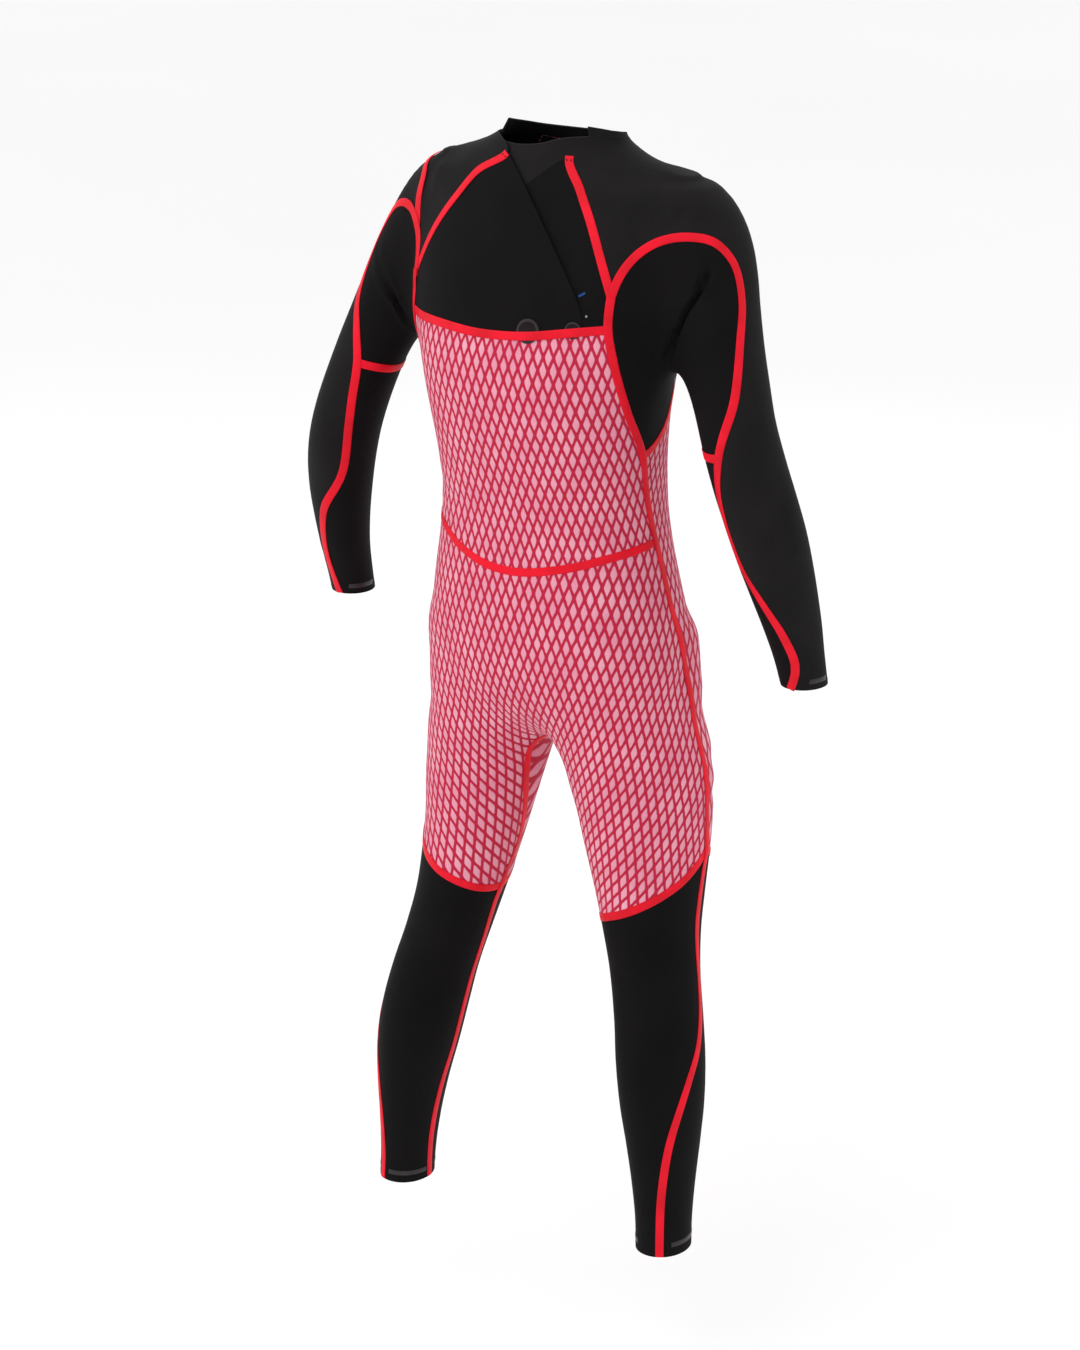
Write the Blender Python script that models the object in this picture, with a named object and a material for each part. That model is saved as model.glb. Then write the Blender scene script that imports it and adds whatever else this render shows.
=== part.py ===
"""A steamer wetsuit, turned inside out and standing open as if it were worn.

The suit is cut and sewn the way a maker does it: flat panels of foam rubber,
joined edge to edge, with a tape over each seam.  Every panel and every tape is
its own closed solid.  They all lie on one form, the shape of the suit when it
is filled, which is worked out from tables of oval sections.

Heights in the tables are above the floor.  The front of the suit faces -Y and
the wearer's left is +X.  The finished parts are moved so that the origin is
between the shoulders, at the place that carries the suit.
"""
import bpy
import bmesh
import numpy as np
from mathutils import Vector
from mathutils.bvhtree import BVHTree

# ---------------------------------------------------------------- sizes ----
ORIGIN = (0.0, 0.015, 1.480)      # floor heights to row frame, at the shoulders
WALL = 0.0030                     # thickness of the foam rubber
HALF_GAP = 0.00015                # half of the gap between two panels
TAPE_HALF_WIDTH = 0.0050          # seam tape is 10 mm wide
TAPE_LIFT = 0.0004                # clear air under a tape
TAPE_LIFT_MOST = 0.0080           # no tape stands further off its panel
TAPE_THICKNESS = 0.0007
TAPE_STEP_LEAST = 0.0040          # shortest step along a tape
OVERLAP_RAISE = 0.0044            # upper layer stands clear of the lower one
OVERLAP_FADE = (0.030, 0.080)     # distances from its edge over which it comes down
OVERLAP_FOOT = (1.322, 1.360)     # heights over which it comes down to the yoke seam
PROBE_START, PROBE_LENGTH = 0.008, 0.020   # how the ground under a point is looked for
WRIST_RIGHT, WRIST_LEFT = 0.905, 0.918
ANKLE = 0.188
COLLAR_ROWS = 2

# ----------------------------------------------------- form of the suit ----
# height, half width, half depth to the back, half depth to the front,
# centre y, squareness
TORSO = np.array([
    (0.740, 0.1680, 0.1000, 0.1000, 0.012, 2.20),
    (0.800, 0.1680, 0.1080, 0.1060, 0.012, 2.20),
    (0.840, 0.1670, 0.1135, 0.1100, 0.012, 2.20),
    (0.880, 0.1655, 0.1160, 0.1120, 0.014, 2.25),
    (0.920, 0.1635, 0.1150, 0.1120, 0.018, 2.30),
    (0.960, 0.1575, 0.1100, 0.1080, 0.025, 2.30),
    (1.000, 0.1510, 0.1040, 0.1040, 0.030, 2.30),
    (1.040, 0.1440, 0.1000, 0.1010, 0.033, 2.30),
    (1.080, 0.1385, 0.0990, 0.0990, 0.035, 2.30),
    (1.120, 0.1375, 0.1010, 0.0990, 0.038, 2.30),
    (1.160, 0.1400, 0.1040, 0.1020, 0.043, 2.30),
    (1.200, 0.1450, 0.1070, 0.1060, 0.048, 2.30),
    (1.240, 0.1510, 0.1090, 0.1100, 0.051, 2.30),
    (1.280, 0.1570, 0.1090, 0.1120, 0.051, 2.30),
    (1.320, 0.1620, 0.1060, 0.1110, 0.047, 2.30),
    (1.360, 0.1660, 0.1010, 0.1060, 0.040, 2.25),
    (1.400, 0.1690, 0.0920, 0.0970, 0.031, 2.15),
    (1.430, 0.1690, 0.0830, 0.0870, 0.024, 2.05),
    (1.454, 0.1640, 0.0740, 0.0770, 0.019, 2.00),
    (1.472, 0.1500, 0.0660, 0.0690, 0.016, 2.00),
    (1.486, 0.1260, 0.0600, 0.0630, 0.014, 2.00),
    (1.498, 0.1000, 0.0560, 0.0590, 0.014, 2.00),
    (1.510, 0.0800, 0.0540, 0.0570, 0.014, 2.00),
    (1.525, 0.0715, 0.0530, 0.0560, 0.014, 2.00),
    (1.560, 0.0690, 0.0530, 0.0560, 0.014, 2.00)])
# height, distance out from the middle, y, half width, half depth, turn in degrees
LEG = np.array([
    (0.150, 0.1880, 0.0860, 0.0330, 0.0385, 0),
    (0.190, 0.1872, 0.0855, 0.0322, 0.0380, 0),
    (0.220, 0.1862, 0.0840, 0.0328, 0.0382, 0),
    (0.270, 0.1840, 0.0815, 0.0368, 0.0425, 0),
    (0.320, 0.1808, 0.0780, 0.0430, 0.0485, 0),
    (0.370, 0.1756, 0.0730, 0.0495, 0.0545, 0),
    (0.420, 0.1690, 0.0660, 0.0526, 0.0568, 0),
    (0.470, 0.1600, 0.0560, 0.0525, 0.0560, 0),
    (0.520, 0.1478, 0.0440, 0.0528, 0.0560, 5),
    (0.570, 0.1365, 0.0330, 0.0550, 0.0615, 14),
    (0.620, 0.1280, 0.0240, 0.0600, 0.0690, 22),
    (0.670, 0.1205, 0.0175, 0.0655, 0.0780, 26),
    (0.720, 0.1135, 0.0135, 0.0722, 0.0860, 24),
    (0.760, 0.1065, 0.0115, 0.0770, 0.0925, 24),
    (0.800, 0.0985, 0.0120, 0.0808, 0.0970, 16),
    (0.860, 0.0860, 0.0140, 0.0820, 0.1000, 5),
    (0.920, 0.0800, 0.0160, 0.0780, 0.1020, 0)])
ARM = np.array([
    (0.870, 0.3165, -0.0140, 0.0260, 0.0285, 0),
    (0.900, 0.3149, -0.0040, 0.0258, 0.0290, 10),
    (0.940, 0.3130, 0.0085, 0.0272, 0.0310, 20),
    (0.980, 0.3105, 0.0220, 0.0300, 0.0355, 26),
    (1.020, 0.3055, 0.0345, 0.0338, 0.0400, 28),
    (1.060, 0.2990, 0.0455, 0.0380, 0.0440, 28),
    (1.100, 0.2910, 0.0540, 0.0410, 0.0465, 26),
    (1.140, 0.2800, 0.0600, 0.0425, 0.0475, 20),
    (1.180, 0.2665, 0.0610, 0.0430, 0.0475, 10),
    (1.220, 0.2520, 0.0570, 0.0430, 0.0475, 0),
    (1.260, 0.2380, 0.0490, 0.0440, 0.0480, 0),
    (1.300, 0.2235, 0.0390, 0.0450, 0.0495, 0),
    (1.340, 0.2095, 0.0275, 0.0465, 0.0515, 0),
    (1.375, 0.1980, 0.0160, 0.0475, 0.0520, 0),
    (1.405, 0.1860, 0.0070, 0.0480, 0.0515, 0),
    (1.435, 0.1730, 0.0020, 0.0450, 0.0490, 0),
    (1.457, 0.1630, 0.0010, 0.0380, 0.0420, 0),
    (1.470, 0.1560, 0.0010, 0.0280, 0.0330, 0),
    (1.478, 0.1500, 0.0010, 0.0150, 0.0200, 0)])
HIP_BLEND = (0.765, 0.915)        # heights between which the legs become the hips
CROTCH_BLEND = (0.030, 0.130)     # rounding between the legs, below and above
ARMPIT_BLEND = (0.050, 0.075)     # rounding of the arm into the torso, above and below


def read_rows(table, heights, free_ends=False):
    """Read a table of sections at any heights, with a smooth curve through the rows."""
    knots, values = table[:, 0], table[:, 1:]
    steps = np.diff(knots)[:, None]
    slopes = np.diff(values, axis=0) / steps
    tangents = np.zeros_like(values)
    tangents[1:-1] = (slopes[:-1] * steps[1:] + slopes[1:] * steps[:-1]) / (steps[1:] + steps[:-1])
    if free_ends:
        tangents[0] = 1.5 * slopes[0] - 0.5 * tangents[1] if len(knots) > 2 else slopes[0]
        tangents[-1] = 1.5 * slopes[-1] - 0.5 * tangents[-2] if len(knots) > 2 else slopes[-1]
    heights = np.clip(heights, knots[0], knots[-1])
    row = np.clip(np.searchsorted(knots, heights, side="right") - 1, 0, len(knots) - 2)
    step = (knots[row + 1] - knots[row])[:, None]
    t = (heights - knots[row])[:, None] / step
    return ((2 * t**3 - 3 * t**2 + 1) * values[row] + (t**3 - 2 * t**2 + t) * step * tangents[row]
            + (3 * t**2 - 2 * t**3) * values[row + 1] + (t**3 - t**2) * step * tangents[row + 1])


def ease(value, low, high):
    """Rise smoothly from 0 at low to 1 at high."""
    t = np.clip((value - low) / (high - low), 0, 1)
    return t * t * (3 - 2 * t)


def round_union(a, b, width):
    """Join two distance fields with a rounded inner corner."""
    near = np.maximum(width - np.abs(a - b), 0) / width
    return np.minimum(a, b) - near * near * width / 4


def oval_distance(dx, dy, half_width, half_depth, squareness):
    """Signed distance, along the ray from the centre, to an oval outline."""
    radius = np.hypot(dx, dy) + 1e-9
    scale = ((np.abs(dx) / half_width)**squareness
             + (np.abs(dy) / half_depth)**squareness)**(1 / squareness) + 1e-9
    return radius - radius / scale


def limb_distance(points, side, table):
    """Signed distance to an arm or a leg on one side."""
    row = read_rows(table, points[:, 2])
    dx = points[:, 0] * side - row[:, 0]
    dy = points[:, 1] - row[:, 1]
    turn = np.radians(row[:, 4])
    c, s = np.cos(turn), np.sin(turn)
    return oval_distance(dx * c + dy * s, dy * c - dx * s, row[:, 2], row[:, 3], 2.04)


def form_distance(points):
    """Signed distance to the outside of the filled suit, negative within it."""
    height = points[:, 2]
    row = read_rows(TORSO, height)
    dy = points[:, 1] - row[:, 3]
    torso = oval_distance(points[:, 0], dy, row[:, 0], np.where(dy > 0, row[:, 1], row[:, 2]), row[:, 4])
    rounding = CROTCH_BLEND[0] + (CROTCH_BLEND[1] - CROTCH_BLEND[0]) * ease(height, 0.78, 0.88)
    legs = round_union(limb_distance(points, -1, LEG), limb_distance(points, 1, LEG), rounding)
    share = ease(height, *HIP_BLEND)
    result = legs * (1 - share) + torso * share
    rounding = ARMPIT_BLEND[0] + (ARMPIT_BLEND[1] - ARMPIT_BLEND[0]) * (1 - ease(height, 1.27, 1.40))
    for side in (-1, 1):
        arm = limb_distance(points, side, ARM)
        over = height - ARM[-1, 0]
        arm = np.minimum(np.maximum(arm, over), 0) + np.hypot(np.maximum(arm, 0), np.maximum(over, 0))
        result = round_union(result, arm, rounding)
    return result


def form_gradient(points, step=2e-4):
    """Slope of the distance, by differences."""
    slope = np.zeros_like(points)
    for axis in range(3):
        move = np.zeros(3)
        move[axis] = step
        slope[:, axis] = (form_distance(points + move) - form_distance(points - move)) / (2 * step)
    return slope


def onto_form(points, level=False, rounds=14):
    """Move points onto the form; level keeps each one at its own height."""
    points = np.array(points, float).reshape(-1, 3)
    for _ in range(rounds):
        distance = form_distance(points)
        if np.abs(distance).max() < 2e-7:
            break
        slope = form_gradient(points)
        if level:
            slope[:, 2] = 0
        move = (distance / ((slope**2).sum(1) + 1e-12))[:, None] * slope
        length = np.linalg.norm(move, axis=1, keepdims=True)
        points = points - move * np.minimum(1, 0.02 / np.maximum(length, 1e-9))
    return points


def outward(points):
    """Unit normals of the form at points on it."""
    slope = form_gradient(points.reshape(-1, 3))
    return (slope / np.linalg.norm(slope, axis=1, keepdims=True)).reshape(points.shape)


# -------------------------------------------------------------- seam lines ----
# Named points where seams meet: (out from the middle, y, height).  The second
# column is the wearer's left where the closure makes it differ.
MARKS = {
    "neck_back": ((0.054, 0.050, 1.521), (0.081, 0.030, 1.510)),
    "raglan_top": ((0.037, 0.065, 1.501), (0.042, 0.066, 1.496)),
    "junction": ((0.122, 0.115, 1.358), (0.154, 0.090, 1.354)),
    "arc_mark": ((0.189, 0.057, 1.423), (0.164, 0.072, 1.401)),
    "arc_mark_front": ((0.184, -0.039, 1.393), (0.152, -0.040, 1.393)),
    "yoke_end": ((0.123, 0.123, 1.322), (0.157, 0.092, 1.307)),
    "tip": ((0.138, 0.069, 1.166), (0.138, 0.069, 1.166)),
    "waist_end": ((0.141, 0.042, 1.059), (0.141, 0.046, 1.066)),
    "thigh_out": ((0.189, -0.002, 0.672), (0.189, -0.002, 0.672)),
    "thigh_in": ((0.076, 0.036, 0.583), (0.076, 0.036, 0.583)),
    "elbow_back": ((0.258, 0.108, 1.189), (0.234, 0.100, 1.234)),
    "elbow_front": ((0.246, 0.014, 1.195), (0.236, 0.012, 1.228)),
    "wrist_back": ((0.312, 0.028, WRIST_RIGHT), (0.314, 0.030, WRIST_LEFT)),
    "wrist_front": ((0.306, -0.032, WRIST_RIGHT), (0.304, -0.028, WRIST_LEFT)),
    "junction_front": ((0.128, -0.034, 1.345), (0.128, -0.034, 1.345)),
    "neck_front": ((0.056, -0.030, 1.500), (0.058, -0.030, 1.500)),
    "ankle_out": ((0.201, 0.119, ANKLE), (0.201, 0.119, ANKLE)),
    "ankle_in": ((0.155, 0.084, ANKLE), (0.155, 0.084, ANKLE)),
}
# Points of the middle, as (x, y, height) with +x to the wearer's left.
MIDDLE_MARKS = {
    "neck_mid": (0.0, -0.047, 1.494),
    "crotch": (0.0, 0.030, 0.799),
    "waist_mid": (0.0, 0.134, 1.024),
    "slit_foot": (-0.100, 0.137, 1.320),
    "tuck_neck": (0.070, 0.046, 1.507),
    "tuck_top": (0.022, 0.091, 1.456),
}
LEVEL_MARKS = ("wrist_back", "wrist_front", "ankle_out", "ankle_in")

# Each chain is one smooth line.  Its items are marks, points on the way, and
# (name, count) for the stretch that ends at the next mark.
SIDE_CHAINS = [
    ["junction", ("corner", 6), "yoke_end", ("side_high", 4), {"right": [(0.129, 0.122, 1.289),
     (0.136, 0.103, 1.228)], "left": [(0.157, 0.086, 1.270), (0.149, 0.080, 1.220)]}, "tip",
     ("side_low", 3), (0.140, 0.055, 1.110), "waist_end",
     ("side_hip", 14), (0.155, 0.028, 0.975), (0.165, 0.010, 0.908), (0.176, 0.000, 0.845),
     (0.186, -0.002, 0.760), "thigh_out",
     ("leg_out", 13), (0.191, 0.018, 0.597), (0.203, 0.034, 0.500), (0.212, 0.058, 0.450),
     (0.214, 0.085, 0.410), (0.208, 0.108, 0.350), (0.203, 0.118, 0.280), "ankle_out"],
    ["neck_back", ("neck_drop", 2), "raglan_top", ("raglan_back", 12),
     {"right": [(0.060, 0.080, 1.466), (0.082, 0.094, 1.435), (0.104, 0.108, 1.397)],
      "left": [(0.064, 0.078, 1.468), (0.087, 0.092, 1.438), (0.114, 0.102, 1.400),
               (0.138, 0.098, 1.372)]}, "junction"],
    ["junction",
     {"right": [("arc_high", 5), (0.126, 0.105, 1.378), (0.135, 0.090, 1.398), (0.154, 0.073, 1.415)],
      "left": [("arc_high", 2), (0.158, 0.081, 1.380)]},
     "arc_mark", ("arc_back", 9),
     {"right": [(0.213, 0.043, 1.417), (0.232, 0.035, 1.396), (0.248, 0.042, 1.356),
                (0.257, 0.061, 1.315), (0.266, 0.088, 1.254)],
      "left": [(0.178, 0.063, 1.416),
               (0.196, 0.054, 1.421), (0.216, 0.044, 1.412), (0.231, 0.044, 1.388),
               (0.241, 0.057, 1.350), (0.245, 0.076, 1.310), (0.238, 0.094, 1.271)]},
     "elbow_back", ("fore_back", 6),
     {"right": [(0.256, 0.104, 1.153), (0.262, 0.094, 1.110), (0.275, 0.084, 1.063),
                (0.296, 0.074, 1.023), (0.317, 0.052, 0.973), (0.323, 0.036, 0.935)],
      "left": [(0.241, 0.102, 1.190), (0.248, 0.100, 1.155), (0.264, 0.090, 1.096),
               (0.303, 0.079, 1.034), (0.317, 0.057, 0.985), (0.318, 0.040, 0.943)]}, "wrist_back"],
    ["neck_front", ("raglan_front", 12), (0.075, -0.033, 1.470), (0.095, -0.037, 1.435),
     (0.112, -0.038, 1.395), "junction_front", ("front_side", 5), (0.146, -0.012, 1.285),
     (0.149, 0.003, 1.235), (0.144, 0.027, 1.193), (0.141, 0.049, 1.175), "tip"],
    ["junction_front",
     {"right": [("arc_fore", 5), (0.134, -0.036, 1.372), (0.147, -0.040, 1.391), (0.164, -0.042, 1.398)],
      "left": [("arc_fore", 2), (0.134, -0.036, 1.372)]},
     "arc_mark_front",
     ("arc_front", 9), {"right": [], "left": [(0.172, -0.042, 1.398), (0.194, -0.036, 1.386)]},
     (0.209, -0.024, 1.358), (0.218, -0.012, 1.320), (0.228, 0.000, 1.278), "elbow_front",
     ("fore_front", 6), (0.262, 0.010, 1.140), (0.276, 0.004, 1.080), (0.290, -0.008, 1.020),
     (0.299, -0.020, 0.960), "wrist_front"],
    ["elbow_back", ("elbow", 15), {"right": [(0.232, 0.094, 1.187), (0.220, 0.062, 1.190),
     (0.230, 0.030, 1.193)], "left": [(0.217, 0.088, 1.228), (0.207, 0.061, 1.222),
     (0.216, 0.030, 1.223)]}, "elbow_front"],
    ["thigh_out", ("thigh_back", 9), (0.184, 0.040, 0.647), (0.168, 0.070, 0.631),
     (0.139, 0.090, 0.614), (0.108, 0.086, 0.600), (0.088, 0.070, 0.590), "thigh_in"],
    ["thigh_out", ("thigh_front", 8), (0.168, -0.032, 0.655), (0.130, -0.046, 0.630),
     (0.096, -0.030, 0.605), (0.080, 0.000, 0.590), "thigh_in"],
    ["crotch", ("inseam", 6), (0.020, 0.050, 0.785), (0.033, 0.046, 0.745), (0.045, 0.031, 0.699),
     (0.061, 0.020, 0.639), "thigh_in", ("leg_in", 13), (0.098, 0.045, 0.500),
     (0.117, 0.062, 0.420), (0.124, 0.068, 0.380), (0.138, 0.079, 0.318), (0.150, 0.085, 0.254),
     "ankle_in"],
    ["neck_back",
     {"right": [("neck_side", 16), (0.069, 0.028, 1.514), (0.071, 0.000, 1.507)],
      "left": [("neck_side", 10), (0.083, 0.010, 1.507)]}, "neck_front"],
    ["neck_front", ("neck_fore", 8), (0.030, -0.043, 1.496), "neck_mid"],
    ["arc_mark", ("shoulder_seam", 8),
     {"right": [(0.189, 0.040, 1.448), (0.186, 0.004, 1.464), (0.184, -0.026, 1.432)],
      "left": [(0.170, 0.058, 1.438), (0.177, 0.030, 1.464), (0.178, 0.003, 1.470),
               (0.172, -0.024, 1.448), (0.162, -0.036, 1.418)]}, "arc_mark_front"],
]
LEVEL_CHAINS = [
    ["wrist_back", ("wrist_out", 8), (0.334, 0.013, 0), (0.341, -0.004, 0), (0.328, -0.025, 0),
     "wrist_front"],
    ["wrist_back", ("wrist_in", 15), (0.294, 0.018, 0), (0.288, 0.000, 0), (0.292, -0.020, 0),
     "wrist_front"],
    ["ankle_out", ("ankle_back", 9), (0.186, 0.123, 0), (0.166, 0.110, 0), "ankle_in"],
    ["ankle_out", ("ankle_front", 8), (0.219, 0.088, 0), (0.206, 0.056, 0), (0.187, 0.048, 0),
     (0.165, 0.058, 0), "ankle_in"],
]
MIDDLE_CHAINS = [
    ["yoke_end@left", ("yoke_left", 12), (0.088, 0.143, 1.309), (0.026, 0.156, 1.307),
     (-0.040, 0.153, 1.311), (-0.080, 0.143, 1.317), "slit_foot", ("yoke_right", 6),
     "yoke_end@right"],
    ["waist_end@left", ("waist_left", 9), (0.107, 0.106, 1.055), (0.077, 0.122, 1.040),
     (0.030, 0.133, 1.026), "waist_mid", ("waist_right", 9), (-0.063, 0.127, 1.034),
     (-0.114, 0.100, 1.049), "waist_end@right"],
    ["raglan_top@left", ("slit", 6), (0.009, 0.086, 1.466), (-0.032, 0.109, 1.425),
     (-0.068, 0.125, 1.382), (-0.092, 0.133, 1.345), "slit_foot"],
    ["tuck_neck", ("tuck_drop", 2), (0.052, 0.064, 1.490), "tuck_top",
     ("tuck", 18), (-0.007, 0.107, 1.430), (-0.044, 0.1245, 1.400), (-0.077, 0.128, 1.368),
     (-0.0925, 0.1335, 1.344), "slit_foot"],
    ["tuck_top", ("flap_edge", 6), (0.009, 0.086, 1.466), (-0.013, 0.075, 1.484),
     "raglan_top@right"],
    ["tuck_neck", ("flap_neck", 6), (0.029, 0.065, 1.507), (0.000, 0.068, 1.511),
     (-0.024, 0.065, 1.518), "neck_back@right"],
    ["waist_mid", ("centre_back", 8), (0.0, 0.135, 0.960), (0.0, 0.130, 0.900),
     (0.0, 0.110, 0.850), (0.0, 0.078, 0.818), "crotch"],
    ["neck_mid", ("centre_front", 28), (0.0, -0.056, 1.450), (0.0, -0.066, 1.390),
     (0.0, -0.064, 1.320), (0.0, -0.059, 1.240), (0.0, -0.059, 1.160), (0.0, -0.064, 1.080),
     (0.0, -0.074, 1.000), (0.0, -0.092, 0.930), (0.0, -0.092, 0.880), (0.0, -0.072, 0.838),
     (0.0, -0.030, 0.808), "crotch"],
]
# Lines inside the wide panels that keep their rows on the right side of a limb:
# column (None is the middle one), then for each stretch its rows (None is all),
# the points on the way, and where it ends (None is the panel's last row).
GUIDES = {
    "shoulder_ridge": (None, [(12, [(0.105, 0.010, 1.498), (0.150, 0.004, 1.484)], None)]),
    "sleeve_ridge": (None, [(9, [(0.210, 0.006, 1.438), (0.236, 0.014, 1.385), (0.258, 0.028, 1.315),
                                 (0.280, 0.045, 1.250)], (0.303, 0.056, 1.185)),
                            (6, [(0.322, 0.056, 1.120), (0.336, 0.044, 1.050), (0.342, 0.024, 0.980)],
                             None)]),
    "armpit": (10, [(None, [(0.146, 0.060, 1.210), (0.158, 0.052, 1.245), (0.178, 0.046, 1.272),
                          (0.197, 0.047, 1.255), (0.207, 0.052, 1.235)], None)]),
    "fore_line": (8, [(6, [(0.240, 0.050, 1.140), (0.256, 0.040, 1.080), (0.272, 0.026, 1.020),
                           (0.283, 0.010, 0.960)], None)]),
    "calf_line": (5, [(13, [(0.130, 0.088, 0.580), (0.146, 0.100, 0.500), (0.166, 0.120, 0.420),
                            (0.174, 0.126, 0.340), (0.178, 0.123, 0.260)], None)]),
    "shin_line": (4, [(13, [(0.134, -0.026, 0.560), (0.150, -0.006, 0.490), (0.166, 0.010, 0.420),
                            (0.178, 0.026, 0.330), (0.185, 0.042, 0.240)], None)]),
    "seat_line": (5, [(14, [(0.070, 0.130, 0.960), (0.076, 0.128, 0.900), (0.084, 0.118, 0.840),
                            (0.094, 0.108, 0.780), (0.104, 0.098, 0.700)], None)]),
    "front_line": (4, [(34, [(0.045, -0.060, 1.440), (0.066, -0.060, 1.360), (0.074, -0.054, 1.280),
                             (0.072, -0.048, 1.190), (0.070, -0.056, 1.100), (0.074, -0.066, 1.030),
                             (0.084, -0.082, 0.950), (0.090, -0.086, 0.880), (0.096, -0.082, 0.800),
                             (0.106, -0.070, 0.730)], None)]),
}
COLLAR = [(-0.052, 0.050, 1.532), (-0.069, 0.018, 1.523), (-0.056, -0.020, 1.515),
          (0.0, -0.042, 1.511), (0.056, -0.020, 1.515), (0.073, 0.008, 1.524), (0.071, 0.030, 1.529)]
# name, halves or sides, first row, last row, first column, last column, guide.
# A minus sign runs a stretch backwards.
PANELS = [
    ("shoulder", "sides", "-neck_drop neck_side", "arc_high shoulder_seam -arc_fore", "raglan_back",
     "raglan_front", "shoulder_ridge"),
    ("sleeve", "sides", "shoulder_seam", "wrist_out", "arc_back fore_back",
     "arc_front fore_front", "sleeve_ridge"),
    ("underarm", "sides", "corner side_high -front_side", "elbow", "arc_high arc_back",
     "arc_fore arc_front", "armpit"),
    ("forearm", "sides", "elbow", "wrist_in", "fore_back", "fore_front", "fore_line"),
    ("calf", "sides", "thigh_back", "ankle_back", "leg_out", "leg_in", "calf_line"),
    ("shin", "sides", "thigh_front", "ankle_front", "leg_out", "leg_in", "shin_line"),
    ("seat", "halves", "waist_half", "thigh_back", "side_hip", "centre_back inseam", "seat_line"),
    ("front_body", "halves", "neck_fore", "thigh_front",
     "raglan_front front_side side_low side_hip", "centre_front inseam", "front_line"),
    ("back_body", "whole", "yoke_left yoke_right", "waist_left waist_right",
     "side_high@left side_low@left", "side_high@right side_low@right", None),
    ("yoke_over", "whole", "raglan_back@left", "-yoke_left", "slit", "corner@left", None),
    ("yoke_under", "whole", "flap_edge", "yoke_right", "tuck", "raglan_back@right corner@right", None),
    ("neck_flap", "whole", "flap_neck", "flap_edge", "tuck_drop", "neck_drop@right", None),
]
# Grids that are one piece of cloth with another grid: the piece, and the borders
# and indexes along which they are joined.
WELDS = {
    "shoulder_right": ("sleeve_right", [("top", 0, 2), ("bottom", 5, 13)]),
    "sleeve_right": ("sleeve_right", [("top", 0, 8)]),
    "neck_flap": ("sleeve_right", [("last", 0, 2)]),
    "seat_right": ("seat", [("last", 0, 8)]),
    "seat_left": ("seat", [("last", 0, 8)]),
    "front_body_right": ("front_body", [("last", 0, 28)]),
    "front_body_left": ("front_body", [("last", 0, 28)]),
}
# Tapes, in the order they are laid: name, sides, stretches, and how much is cut
# off at the start and at the end.  A tape climbs over the ones below it.
TAPES = [
    ("tape_side", "sides", "corner side_high side_low side_hip leg_out", 0.0, 0.0006),
    ("tape_arm_back", "sides", "arc_high arc_back fore_back", 0.0030, 0.0006),
    ("tape_arm_front", "sides", "-front_side arc_fore arc_front fore_front", 0.0110, 0.0006),
    ("tape_inner_leg", "whole", "-leg_in@right -inseam@right inseam@left leg_in@left",
     0.0006, 0.0006),
    ("tape_raglan_back", "sides", "raglan_back", 0.0010, 0.0060),
    ("tape_raglan_front", "sides", "raglan_front", 0.0010, 0.0040),
    ("tape_elbow", "sides", "elbow", 0.0075, 0.0075),
    ("tape_thigh_back", "sides", "thigh_back", 0.0080, 0.0090),
    ("tape_thigh_front", "sides", "thigh_front", 0.0080, 0.0090),
    ("tape_yoke", "whole", "yoke_left yoke_right", 0.0075, 0.0075),
    ("tape_waist", "whole", "waist_left waist_right", 0.0075, 0.0075),
    ("tape_shoulder", "left", "shoulder_seam", 0.0090, 0.0090),
]
# Round patches under the yoke tape: name, centre (x, y, height), radius, and how
# far its low points are brought up to its highest one, as a share.
PATCHES = [
    ("patch_wide", (-0.036, 0.153, 1.316), 0.0140, 0.0),
    ("patch_small", (-0.088, 0.141, 1.321), 0.0095, 0.6),
]
PATCH_THICKNESS = 0.0008
# Small pieces at the foot of the closure: name, centre, half sizes along its
# length, across it and out from the suit, and the way its length points.
SMALL_PIECES = [
    ("closure_tag", "tag", (-0.0925, 0.1290, 1.3600), (0.0050, 0.0016, 0.0005), (-0.80, -0.30, 0.52)),
    ("closure_bead", "bead", (-0.1010, 0.1330, 1.3370), (0.0019, 0.0019, 0.0012), (0.0, 0.0, 1.0)),
]
SIGN = {"right": -1.0, "left": 1.0}


def mark_point(name, side=None):
    """Position of a named seam point on the form."""
    name, _, other = name.partition("@")
    side = other or side
    if name in MIDDLE_MARKS:
        point = MIDDLE_MARKS[name]
    else:
        out, y, height = MARKS[name][0 if side == "right" else 1]
        point = (SIGN[side] * out, y, height)
    return onto_form(point, level=name in LEVEL_MARKS)[0]


def along(points):
    """Distance along a line of points."""
    return np.concatenate([[0.0], np.cumsum(np.linalg.norm(np.diff(points, axis=0), axis=1))])


def spread(points, count):
    """Share a line of points out into equal steps."""
    distance = along(points)
    wanted = np.linspace(0, distance[-1], count + 1)
    return np.column_stack([np.interp(wanted, distance, points[:, axis]) for axis in range(3)])


def smooth_line(points, per_span=14):
    """Smooth curve through points, and the index of each of them on it."""
    points = np.asarray(points, float)
    knots = along(points)
    fine = np.concatenate([np.linspace(a, b, per_span, endpoint=False)
                           for a, b in zip(knots[:-1], knots[1:])] + [[knots[-1]]])
    table = np.column_stack([knots, points])
    return read_rows(table, fine, free_ends=True), np.arange(len(points)) * per_span


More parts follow.
